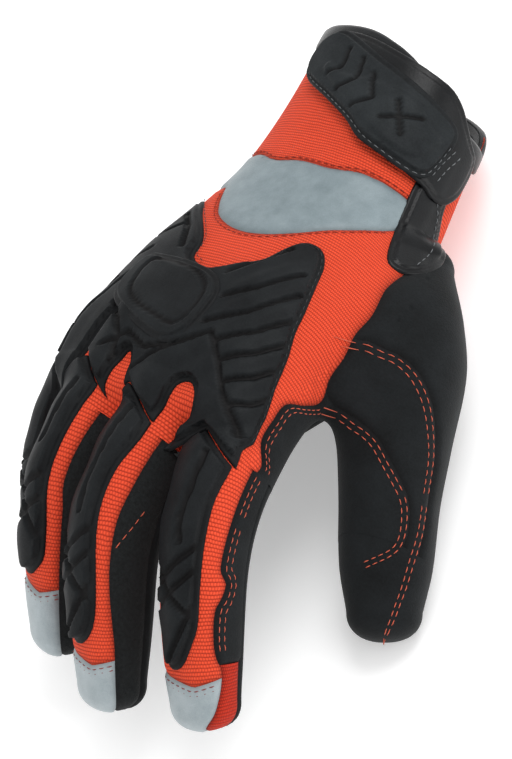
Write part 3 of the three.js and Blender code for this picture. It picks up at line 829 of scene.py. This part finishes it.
# ---- Moulded guard ----
# One piece of semi-matt black rubber over the back of the hand, with a thin sewn rim, tread grooves and a
# blank badge. It splits into a branch for each finger, and its finger plates start at a chevron groove.
GUARD_OUTLINE = [
    (75, -53), (76, -44), (78, -32), (88, -21), (100, -9), (108, -6), (111, 1), (110, 7), (106, 14), (102, 20),
    (96, 23), (91, 26), (89, 30), (90, 35), (95, 39), (103, 42), (112, 45), (120, 47), (128, 50), (137, 52),
    (146, 54), (158, 56), (174, 60), (174, 31), (160, 30), (153, 29.5), (149.5, 27), (148.5, 24.5), (150, 22),
    (154, 21), (160, 21), (174, 21), (174, 1), (158, 0.5), (150, -1), (146, -3), (145, -4.5), (148, -5.5),
    (156, -7), (174, -9), (174, -24), (158, -22.5), (148, -21.5), (138, -20), (133.5, -19.3), (133.5, -19.8),
    (138, -21.5), (148, -23.5), (158, -26), (174, -30), (174, -52), (150, -54), (120, -55), (90, -54),
]
BADGE = [(111, -22), (111, -14), (112, 0), (114, 10), (118, 16), (124, 18.5), (134, 17.5), (139.5, 14), (141, 8),
         (139, -2), (135.5, -13), (131, -22), (126, -26), (118, -26)]
BADGE_RING = [(114, -14), (115, 0), (118, 9), (123, 13), (131, 13), (135, 10), (134, 2), (131, -10), (126, -17),
              (117, -18), (114, -14), (115, 0)]
hand_grooves = [
    [(133, 24), (140, 32), (149, 40), (158, 52)], [(121, 19), (114, 28), (103, 37)],
    [(131, 19), (123, 31), (110, 41)], [(135, 27), (128, 37), (118, 45)], [(140, 32), (134, 41), (125, 48)],
    [(145, 37), (140, 45), (132, 51)], [(151, 43), (148, 48), (142, 52)], [(133, 24), (138, 17), (142, 11)],
    [(140, 14), (145, 7), (151, 2)], [(114, -23), (124, -31), (136, -36), (150, -37)],
    [(131, -22), (137, -14), (142, -10), (150, -8)], [(141, 11), (143, 2), (140, -7), (146, -14)],
    [(95, -22), (99, -30), (98, -42), (104, -52)], [(107, -27), (111, -36), (110, -46), (116, -54)],
    [(120, -33), (124, -41), (123, -48), (128, -54)], [(137, -38), (140, -44), (140, -54)],
    [(96, 27), (104, 22), (112, 14)], [(88, -28), (97, -18), (106, -12)],
]


def traced(limb, s, turn, shift=0.0, start=70.0):
    """Where lines out of the limb's middle, at turn round it, leave the shell, found from outside."""
    out = np.full(s.shape, start)
    for _ in range(15):
        spots = limb.place(s, shift + out * np.cos(turn), out * np.sin(turn))
        out = np.clip(out - outside_shell(spots), 1, start + 10)
    return spots, out


class Wrapped:
    """The shell over a stretch of the hand as a flat sheet: s along, u round it from its middle, to the thumb."""

    def __init__(self, s_range, turns, sign=-1):
        self.s, turns = np.arange(*s_range, 1.0), np.radians(np.arange(*turns, 2.0))
        s, turn = (a.ravel() for a in np.meshgrid(self.s, turns, indexing="ij"))
        _, out = traced(hand, np.maximum(s, 2), turn, shift=3.0)
        spots = hand.place(s, 3 + out * np.cos(turn), out * np.sin(turn)).reshape(len(self.s), len(turns), 3)
        run = np.cumsum(np.linalg.norm(np.diff(spots, axis=1), axis=2), 1)
        run = np.concatenate([np.zeros((len(self.s), 1)), run], 1)
        middle = np.argmin(abs(turns - (np.pi / 2 if sign < 0 else 1.5 * np.pi)))
        u = (3 + sign * (run - run[:, middle : middle + 1]))[:, ::sign]
        spots = spots[:, ::sign]
        self.even = np.arange(-78.0, 82.0)
        even = [[np.interp(self.even, row, spot[:, k]) for k in range(3)] for row, spot in zip(u, spots)]
        self.spots = np.array(even).transpose(0, 2, 1)
        away = np.cross(np.gradient(self.spots, axis=1), np.gradient(self.spots, axis=0))
        away *= -sign * np.sign(away[len(away) // 2, 81, 2])
        self.away = away / np.maximum(np.linalg.norm(away, axis=2, keepdims=True), 1e-9)

    def at(self, flat):
        """The points of the shell under points of the sheet, and the directions out of it there."""
        a = np.clip(flat[:, 0] - self.s[0], 0, len(self.s) - 1.001)
        b = np.clip(flat[:, 1] - self.even[0], 0, len(self.even) - 1.001)
        i, j = a.astype(int), b.astype(int)
        a, b = (a - i)[:, None], (b - j)[:, None]
        found = []
        for grid in (self.spots, self.away):
            near = grid[i, j] * (1 - b) + grid[i, j + 1] * b
            found.append(near * (1 - a) + (grid[i + 1, j] * (1 - b) + grid[i + 1, j + 1] * b) * a)
        return found


hand_back = Wrapped((66, 178), (-36, 217))


def sheet_grid(s_range, u_range, step):
    """A flat grid of points and triangles, as (s, u, 0)."""
    s, u = np.arange(*s_range, step), np.arange(*u_range, step)
    points = np.stack(np.meshgrid(s, u, indexing="ij"), -1).reshape(-1, 2)
    corner = (np.arange(len(s) - 1)[:, None] * len(u) + np.arange(len(u) - 1)).ravel()
    across, along = corner + 1, corner + len(u)
    triangles = np.concatenate([np.stack([corner, across, along], 1), np.stack([across, along + 1, along], 1)])
    return np.column_stack([points, np.zeros(len(points))]), triangles


def off_lines(flat, lines):
    """The distance from flat points to the nearest of some open lines."""
    nearest = np.full(len(flat), 99.0)
    for line in lines:
        ends = np.array(line, float)
        for a, b in zip(ends[:-1], ends[1:]):
            nearest = np.minimum(nearest, off_line(flat, a, b))
    return nearest


def flat_edge(outline):
    line = rounded(outline)
    return lambda flat, _: within(flat, line)


# How far in from a plate's outline its rim is round, where the rim ends, and where the body is at full height.
ROUND, RIM, BODY = 0.8, 1.9, 2.5


def moulded(grid, edge, ground, body_height, grooves=(), rim_height=1.3, groove_width=0.55, deep=1.5, base=-0.4):
    """A rubber plate: cut to its outline, with a rounded rim, a step up to its body and grooves in it.
    edge gives the distance inside the outline, and ground the points that it lies on and their way out."""
    flat = grid[0][:, :2]
    spots, away = ground(flat)
    grid = np.column_stack([flat, spots, away, edge(flat, spots)]), grid[1]
    grid, over = slit(grid, grid[0][:, 8])
    grid = only(grid, over)
    for level in (0.3, ROUND, RIM, BODY):
        grid, _ = slit(grid, grid[0][:, 8] - level)
    flat, spots, away, inside = grid[0][:, :2], grid[0][:, 2:5], grid[0][:, 5:8], grid[0][:, 8]
    rim = rim_height * np.sqrt(np.clip(1 - (1 - np.clip(inside / ROUND, 0, 1)) ** 2, 0, 1))
    groove = 1 - smooth(groove_width, groove_width + 0.55, off_lines(flat, grooves))
    on_body = smooth(RIM, BODY, inside)
    body = body_height(flat, inside) * on_body
    height = base + rim + body - np.minimum(deep, body) * groove
    # Painted shade: darkest in the grooves, and in a band round the rim's edge.
    shade = np.maximum(groove * on_body, 0.45 * (1 - smooth(RIM, 2.4, inside)))
    return standing(spots + away * height[:, None]), grid[1], flat, shade


def moulded_rubber(label, low, high, rough):
    """Moulded rubber: a fine satin skin with painted shade in its grooves and round its rim, slightly paler where
    it has been rubbed.
    """
    material, tree, shader = finish_of(label, roughness=rough, specular=0.14)
    skin = use(tree, nap, Fibre=1800.0, Patch=70.0)
    rubbed = spread(tree, skin["Shade"], 0.38, 0.66)
    dress(tree, shader, low, high, rubbed, skin["Height"], strength=0.35, distance=0.00012, seam_shade_strength=0.75)
    gloss = spread(tree, skin["Shade"], 0.3, 0.7, rough + 0.08, rough - 0.08)
    tree.links.new(gloss, shader.inputs["Roughness"])
    return material


rubber = moulded_rubber("guard_rubber", (14, 16, 18), (27, 30, 32), 0.58)

# s0: where the chevron groove is on the finger, at its tip, which is offset to the side by x0.
CHEVRON = {"index": (14, -1), "middle": (7, -4), "ring": (9, -2), "pinky": (8, 0)}


def past_chevron(points, finger):
    s, x, _ = limbs[finger].local(points).T
    s0, x0 = CHEVRON[finger]
    return s - s0 - np.maximum(-0.5 * (x - x0), 0.8 * (x - x0))


def plate_edge(flat, spots):
    past = [past_chevron(spots, finger) for finger in FINGERS]
    before = -np.select([flat[:, 1] > 25, flat[:, 1] > -4, flat[:, 1] > -22], past[:3], past[3])
    return np.minimum(within(flat, rounded(GUARD_OUTLINE)), np.where(flat[:, 0] > 138, before, 99))


def plate_height(flat, inside):
    """Facets of the plate: ridges along the branches and slanted bars beside the spine."""
    height = 0.5 + 1.4 * smooth(78, 104, flat[:, 0])
    for line in ([(128, 12), (145, 11), (170, 11)], [(136, 36), (150, 42), (172, 45)],
                 [(132, -14), (150, -14), (172, -15)], [(132, -36), (150, -39), (172, -41)]):
        height += 1 - smooth(0, 9, off_lines(flat, [line]))
    bars = (flat[:, 0] - 133) * 0.62 + (flat[:, 1] - 24) * 0.78
    beside = smooth(14, 26, flat[:, 1]) * smooth(96, 106, flat[:, 0])
    return height + 0.45 * beside * (0.5 + 0.5 * np.sin(bars * 0.9))


cut = moulded(sheet_grid((72, 176), (-57, 64), 0.75), plate_edge, hand_back.at, plate_height, hand_grooves)
made = solid("guard_plate", *cut[:2], rubber, "moulded_rubber", *cut[2:])
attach(made, "hand")
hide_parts("hand_guard")


def level_height(height):
    return lambda flat, inside: np.full(len(flat), height)


cut = moulded(
    sheet_grid((106, 144), (-30, 22), 0.7), flat_edge(BADGE), hand_back.at, level_height(1.0),
    [rounded(BADGE_RING, closed=False)], rim_height=1.5, groove_width=0.4, deep=0.7, base=1.9,
)
made = solid("guard_blank_badge", *cut[:2], rubber, "moulded_rubber", *cut[2:])
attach(made, "hand")
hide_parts("guard_badge")

# Each finger's plate in two parts, which meet at the middle of the finger.
PLATES = {
    "index": ([(4, 13), (24, 11.5), (36, 9.8), (58, 9.5), (68, 9), (74, 7), (80, 3.5), (82, -1), (80, -4),
               (74, -5.5), (60, -6.5), (47, -7.5), (38, -8.5), (24, -8.5), (4, -9)],
              [[(46, 9), (59, -7)], [(52, 9), (65, -6)], [(50, -8), (66, 7)], [(60, 9), (78, 0)],
               [(22, 4), (40, 2), (46, 3)]]),
    "middle": ([(-2, 11), (12, 10.4), (24, 9.9), (35, 7), (46, 6.5), (60, 8.6), (73, 8.6), (80, 6), (83, 1),
                (81, -3), (70, -6.5), (55, -8.5), (40, -9.5), (26, -9.3), (16, -7.5), (8, -5), (-2, -4)],
               [[(48, 8), (60, -8)], [(54, 8), (67, -7)], [(50, -9), (68, 7)], [(62, 8), (78, -1)],
                [(16, 3), (34, 0), (46, 1)]]),
    "ring": ([(2, 8), (28, 7), (38, 6.3), (46, 6.5), (56, 8.5), (66, 8.5), (71, 5), (73, 1), (71, -4), (66, -6),
              (50, -8), (28, -8.5), (2, -8)],
             [[(42, 7), (54, -8)], [(48, 8), (60, -7)], [(44, -9), (60, 7)], [(18, 2), (36, 0)]]),
    "pinky": ([(0, 7), (30, 6.5), (46, 6.5), (54, 5), (58, 1), (56, -4), (48, -6.5), (30, -7.5), (0, -8)],
              [[(34, 7), (46, -8)], [(40, 7), (52, -7)], [(36, -8), (50, 7)]]),
}


def finger_plate_edge(flat, spots):
    return np.minimum(within(flat, plate_line), past_chevron(spots, name))


def finger_ground(flat):
    turn = np.pi / 2 - flat[:, 1] / FINGERS.get(name, THUMB)["half"]
    spots, _ = traced(limbs[name], flat[:, 0], turn, start=26.0)
    return spots, outward(spots)[0]


def finger_plate_height(flat, inside):
    ridge = 1 - smooth(0, 7, abs(flat[:, 1] - 1))
    return 1.6 + 0.8 * ridge + 0.3 * np.sin(flat[:, 0] * 0.33)


for name, (outline, grooves) in PLATES.items():
    plate_line = rounded(outline)
    along, round_it = np.array(outline).T
    grid = sheet_grid((along.min() - 1, along.max() + 2), (round_it.min() - 1, round_it.max() + 1), 0.75)
    raised, triangles, flat, shade = moulded(grid, finger_plate_edge, finger_ground, finger_plate_height, grooves)
    mesh = (np.column_stack([raised, flat, shade]), triangles)
    mesh, over = slit(mesh, FINGERS[name]["mid"] - PARTING - flat[:, 0])
    for part, chosen in (("root", over), ("tip", ~over)):
        points, triangles = only(mesh, chosen)
        places, flat, shade = points[:, :3], points[:, 3:5], points[:, 5]
        made = solid(f"{name}_{part}_plate", places, triangles, rubber, "moulded_rubber", flat, shade)
        bend_at(made, part)
        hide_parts(f"{name}_{part}_guard")

# ---- Wrist strap ----
# A black band sewn to the thumb side of the cuff. It wraps over the back of the wrist, holds by hook tape to
# a loop pad, and ends in a moulded pull tab with a raised island, chevrons and a cross.
cuff_skin = Wrapped((-8, 102), (-40, 250))
vinyl, tree, shader = finish_of("black_vinyl", roughness=0.3, specular=0.22)
grain = use(tree, nap, Fibre=1500.0, Patch=90.0)
worn = spread(tree, grain["Shade"], 0.36, 0.66)
dress(tree, shader, (9, 10, 12), (20, 22, 24), worn, grain["Height"], strength=0.4, distance=0.0002, seam_shade_strength=0.4)
fastener = suede("hook_and_loop", (18, 19, 20), (44, 46, 48), fibre=2600.0, patch=500.0, bumps=0.0006)
tab_rubber = moulded_rubber("tab_rubber", (24, 27, 29), (40, 44, 46), 0.6)

STRAP_BAND = [(0, -11.5), (1, -0.5), (4, 13), (6.5, 25), (8, 32.5), (11, 38), (15, 42.5), (18, 46), (20, 49),
              (22, 52), (26, 53.5), (32, 54), (38, 53.5), (43, 51), (44.5, 46), (43, 41.5), (42, 32.5), (38, 19.5),
              (32, 6.5), (26, -6), (20, -18), (14, -22.5), (6, -22.5), (1, -18)]
TAB = [(15, -21), (21, -17), (27, -4.5), (33, 7.5), (39, 16), (42, 26), (43, 32.5), (42, 38), (38, 41), (25, 42),
       (19, 39.5), (15.5, 30.5), (12, 20.5), (8, 8.5), (1.5, -8), (1, -14.5), (6, -20)]
ISLAND = [(17, -1.5), (17, 10.5), (17.5, 19.5), (19, 27), (24, 32.5), (27, 37.5), (31, 37), (38, 34), (39, 27),
          (34, 15), (29, 7.5), (24, -1.5), (18, -10), (14, -9)]
tab_marks = [
    [(8, -4.5), (15, -3.5), (19, -7)], [(10.5, 3), (19, 5), (24, -0.5)], [(15, 9.5), (24, 14), (29, 8.5)],
    [(22, 21.5), (27, 24), (33, 27)], [(30, 19.5), (27, 24), (24, 29.5)],
]


def tab_height(flat, inside):
    return 1.5 + smooth(0, 1.6, within(flat, rounded(ISLAND)))


for label, outline, span, level, thick, marks, material, slot, body, stands_for in [
    ("strap_loop_pad", [(5, -12), (16, -13), (34, 14), (32, 18), (12, 18)], ((2, 42), (-26, 20)), 0.0, 0.0, (),
     fastener, "hook_and_loop", "hand", "loop_pad"),
    ("strap_hook_tape", [(5, -11), (15, -12), (33, 14), (30, 18), (12, 18)], ((2, 38), (-19, 20)), 0.9, 0.0, (),
     fastener, "hook_and_loop", "strap", "strap_hook"),
    ("strap_band", STRAP_BAND, ((-2, 46), (-26, 60)), 1.8, 0.3, (), vinyl, "vinyl", "strap", "strap_band"),
    ("strap_pull_tab", TAB, ((-1, 45), (-24, 45)), 3.0, None, tab_marks, tab_rubber, "moulded_rubber", "strap",
     "strap_guard"),
    ("strap_anchor", [(22, 44), (30, 41), (40, 39), (52, 41.5), (64, 45), (74, 49), (77, 53), (75, 59), (68, 63),
                      (60, 63), (52, 59), (45, 54.5), (38, 52.5), (24, 52)],
     ((20, 79), (37, 65)), 0.0, 0.8, (), vinyl, "vinyl", "hand", "strap_anchor"),
]:
    height = tab_height if thick is None else level_height(thick)
    top, triangles, flat, shade = moulded(
        sheet_grid(*span, 0.8), flat_edge(outline), cuff_skin.at, height, marks, rim_height=0.8, base=level,
        groove_width=0.5, deep=1.1,
    )
    low = standing(np.add(*[part * lift for part, lift in zip(cuff_skin.at(flat), (1, level - 0.1))]))
    points, faces = np.concatenate([top, low]), np.concatenate([triangles, triangles[:, ::-1] + len(top)])
    made = solid(label, points, faces, material, slot, np.tile(flat, (2, 1)), np.tile(shade, 2))
    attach(made, body)
    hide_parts(stands_for)

# ---- Cuff binding and lining ----
# The cuff's open end is bound with black vinyl, and a thin dark lining runs inside to the fingers.
turns = np.radians(np.arange(0, 360, 4))
PROFILE = [(3.8, 0.1), (4.4, 0.5), (4.2, 1.2), (3.4, 1.6), (0, 1.7), (-2.2, 1.6), (-3.2, 1.0), (-3.4, 0.2),
           (-3.0, -0.6), (-1.5, -1.4), (3.5, -1.9)]
LINING = [(-2.6, -1.0), (2, -1.9), (20, -2.2), (45, -2.4), (70, -2.6), (95, -2.8), (115, -3.0), (128, -6.0),
          (134, -16.0)]
for label, rows, material, slot in [
    ("cuff_edge_binding", PROFILE, vinyl, "vinyl"),
    ("inner_lining", LINING, air_mesh, "air_mesh"),
]:
    along, lift = np.array(rows)[:, :, None].transpose(1, 0, 2) + np.zeros((2, 1, len(turns)))
    angle = np.broadcast_to(turns, along.shape)
    side = 3 + 34 * np.cos(angle)
    along = along + opening(side) * (1 - smooth(0, 60, along))
    _, out = traced(hand, np.maximum(along, 2).ravel(), angle.ravel(), shift=3.0)
    out = np.minimum(out.reshape(along.shape), 46) + lift
    ring = hand.place(along.ravel(), (3 + out * np.cos(angle)).ravel(), (out * np.sin(angle)).ravel())
    count = len(turns)
    k = (np.arange(len(rows) - 1)[:, None] * count + np.arange(count)).ravel()
    after = np.where(k % count == count - 1, k - count + 1, k + 1)
    faces = np.stack([k, after, after + count, k + count], 1)
    faces = faces[:, ::-1] if slot == "air_mesh" else faces
    flat = np.stack([np.degrees(angle).ravel() * 0.5, along.ravel()], 1)
    made = solid(label, standing(ring), faces, material, slot, flat)
    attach(made, "hand")
    if slot == "vinyl":
        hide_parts("cuff_binding")

# ---- Palm heel pad ----
# A foam pad under black suede on the heel of the palm, quilted along its length.
palm_skin = Wrapped((30, 84), (190, 350), sign=1)
PAD = [(42, -33), (40, -20), (40, -4), (46, 2), (58, 3), (68, 0), (73, -10), (72, -26), (64, -36), (50, -38)]


def pad_height(flat, inside):
    crown = 3.2 * np.sqrt(np.clip(1 - (1 - np.clip(inside / 12, 0, 1)) ** 2, 0, 1))
    return crown * (1 - 0.3 * np.exp(-(((flat[:, 1] + 17) / 1.4) ** 2)))


raised, triangles, flat, shade = moulded(
    sheet_grid((38, 75), (-40, 6), 0.9), flat_edge(PAD), palm_skin.at, pad_height, rim_height=1.2
)
# The plate's painted shade round its rim, weakened.
made = solid("palm_pad", raised, triangles, black_suede, "suede", flat, shade * 0.4)
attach(made, "hand")
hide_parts("palm_heel_pad")


# ---- Stitches ----
# Sewing thread shows as short dashes along the seams: double rows on the patches, caps and thumb, and single
# rows round the guard, the tab and the reflective band.
def thread_of(label, colour):
    material, tree, shader = finish_of(label, roughness=0.6, specular=0.3)
    twist = use(tree, nap, Fibre=3000.0, Patch=400.0)
    shade = use(tree, sewn, Low=tint(np.array(colour) * 0.7), High=tint(colour), Mask=twist["Shade"])
    tree.links.new(shade["Colour"], shader.inputs["Base Color"])
    return material


def beside(line, *offsets):
    """Copies of a flat line, shifted sideways."""
    line = rounded(line, closed=False)
    step = np.gradient(line, axis=0)
    side = np.stack([-step[:, 1], step[:, 0]], 1) / np.linalg.norm(step, axis=1)[:, None]
    return [line + side * offset for offset in offsets]


def sew(label, lines, ground, lift, material, slot, length=1.8, gap=1.0, thick=0.17):
    """Dashes of thread along flat lines, in one mesh."""
    points, count = [], 0
    for line in lines:
        run = np.concatenate([[0], np.cumsum(np.linalg.norm(np.diff(line, axis=0), axis=1))])
        begin = np.arange(0.3, run[-1] - length, length + gap)
        at = (begin[:, None] + np.array([0, 0.5, 1]) * length).ravel()
        spots, away = ground(np.stack([np.interp(at, run, line[:, k]) for k in (0, 1)], 1))
        spots, away = (a.reshape(-1, 3, 3) for a in (spots, away))
        ahead = spots[:, 2:] - spots[:, :1]
        side = np.cross(ahead / np.linalg.norm(ahead, axis=2, keepdims=True), away)
        rise, wide = np.array([-0.1, 0.55, -0.1]) * thick * 2, np.array([0.6, 1, 0.6]) * thick
        middle = spots + away * (lift + rise)[:, None]
        quarters = ((1, 0), (0, 1), (-1, 0), (0, -1))
        ring = [middle + side * (wide * a)[:, None] + away * (wide * b)[:, None] for a, b in quarters]
        points.append(np.stack(ring, 2).reshape(-1, 3))
        count += len(begin)
    first = np.arange(count)[:, None, None] * 12
    quads = [(r + k, r + (k + 1) % 4, r + 4 + (k + 1) % 4, r + 4 + k) for r in (0, 4) for k in range(4)]
    faces = (first + np.array([*quads, (3, 2, 1, 0), (8, 9, 10, 11)])).reshape(-1, 4)
    return solid(label, standing(np.concatenate(points)), faces, material, slot)


black_thread, grey_thread = thread_of("black_thread", (58, 62, 64)), thread_of("grey_thread", (128, 132, 134))
salmon_thread, red_thread = thread_of("salmon_thread", (236, 110, 82)), thread_of("red_thread", (150, 40, 26))


def row_at(edge, depth, skin, s_values, u_values, across_s=True):
    """The row of the sheet where edge is depth, found on lines across it."""
    s, u = np.meshgrid(s_values, u_values, indexing="ij")
    value = edge(skin.at(np.stack([s.ravel(), u.ravel()], 1))[0]).reshape(s.shape) < depth
    if not across_s:
        return np.array([(s_values[i], u_values[np.argmax(row)]) for i, row in enumerate(value)])
    return np.array([(s_values[np.argmax(row)], u_values[j]) for j, row in enumerate(value.T)])


cuff_row = row_at(cuff_edge, 1.5, cuff_skin, np.arange(36, 60, 0.25), np.arange(-32, 44.0))
band_row = row_at(band_edge, -1.4, cuff_skin, np.arange(52, 101, 0.25), np.arange(-24, 45.0))
web_row = row_at(side_edge, -1.5, hand_back, np.arange(127, 161.0), np.arange(40, 77, 0.25), across_s=False)
web_rows = [web_row, web_row + [0, 1.8]]
rim_rows = [[(79, -31), (88, -21), (100, -9), (108, -6), (111, 1)],
            [(106, 14), (102, 20), (96, 23), (91, 26), (89, 30), (90, 35), (95, 39), (103, 42), (112, 45),
             (120, 47), (128, 50), (137, 52), (146, 54), (158, 56)]]
for label, lines, ground, lift, thread in [
    ("cuff_stitches", [cuff_row], cuff_skin.at, 0.0, red_thread),
    ("band_stitches", [band_row], cuff_skin.at, 0.0, red_thread),
    ("web_stitches", web_rows, hand_back.at, 0.45, salmon_thread),
    ("guard_stitches", beside(rim_rows[0], 1.1) + beside(rim_rows[1], -1.1), hand_back.at, 0.85, black_thread),
    ("anchor_stitches", beside([(42, 46), (46, 51), (54, 55.5), (62, 58), (71, 58.5)], 0), cuff_skin.at, 1.6,
     grey_thread),
]:
    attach(sew(label, lines, ground, lift, thread, "suede"), "hand")

for label, lines, lift, sizes in [
    ("strap_root_stitches", beside([(25, 41), (32, 39.5), (39, 39)], 0, 2.4, 4.8), 2.9, (1.7, 0.9, 0.2)),
    ("tab_stitches",
     beside([(16, -20), (21.5, -16), (27, -4.5), (33, 7.5), (39, 17), (42, 26), (43, 32.5), (42, 38), (38, 41),
             (26, 42)], 1.1),
     3.8, (1.6, 1.1, 0.16)),
]:
    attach(sew(label, lines, cuff_skin.at, lift, grey_thread, "vinyl", *sizes), "strap")


def on_finger(rows):
    """Rows of (s, angle) as flat points of the finger, from the middle of its back."""
    half = FINGERS.get(name, THUMB)["half"]
    return [(s, np.radians(90 - angle) * half) for s, angle in rows]


def sew_on_finger(label, lines, lift, thread):
    """Rows of stitches in two pieces, split where the finger's cloth parts."""
    middle = FINGERS.get(name, THUMB)["mid"] - PARTING
    for part, keep in (("root", lambda line: line[:, 0] < middle), ("tip", lambda line: line[:, 0] >= middle)):
        chosen = [line[keep(line)] for line in lines]
        chosen = [line for line in chosen if len(line) > 3]
        if chosen:
            bend_at(sew(f"{name}_{part}_{label}", chosen, finger_ground, lift, thread, "suede"), part)


for name in FINGERS:
    cap = CAP_OF[name]
    reach = [(cap + 3 - 3 * abs(a - 62) / 60, a) for a in np.arange(28, 146, 6)]
    sew_on_finger("cap_stitches", beside(on_finger(reach), 1.2, 2.6), 0.1, red_thread)
name = "index"
saddle_row = on_finger([(22, 8), (26, 10), (37, 14), (48, 19), (53, 19), (56, 9), (60, 14), (64, 25), (74, 27),
                        (79, 22)])
sew_on_finger("saddle_stitches", beside(saddle_row, 1.5, 3.4), 0.5, salmon_thread)
name = "middle"
sew_on_finger("side_stitches", beside(on_finger([(54, 30), (48, 14), (42, 2), (38, -8)]), 0), 0.05, salmon_thread)
name = "thumb"
outer_row = on_finger([(1, 128), (0.5, 113), (2, 100), (3, 88), (5, 76), (8, 64), (12, 54), (17, 45), (24, 37),
                       (34, 30), (46, 30), (57, 32), (67, 40), (76, 47), (84, 58), (89, 68), (93, 80)])
patch_row = on_finger([(17, 150), (20, 136), (24, 122), (26, 112), (30, 97), (36, 83), (41, 71), (46, 60),
                       (51, 55), (58, 55), (63, 61), (66, 73), (68, 90), (70, 112)])
sew_on_finger("outer_stitches", beside(outer_row, -1.4, -3.2), 0.4, salmon_thread)
sew_on_finger("patch_stitches", beside(patch_row, -1.3, -3.0), 0.5, salmon_thread)
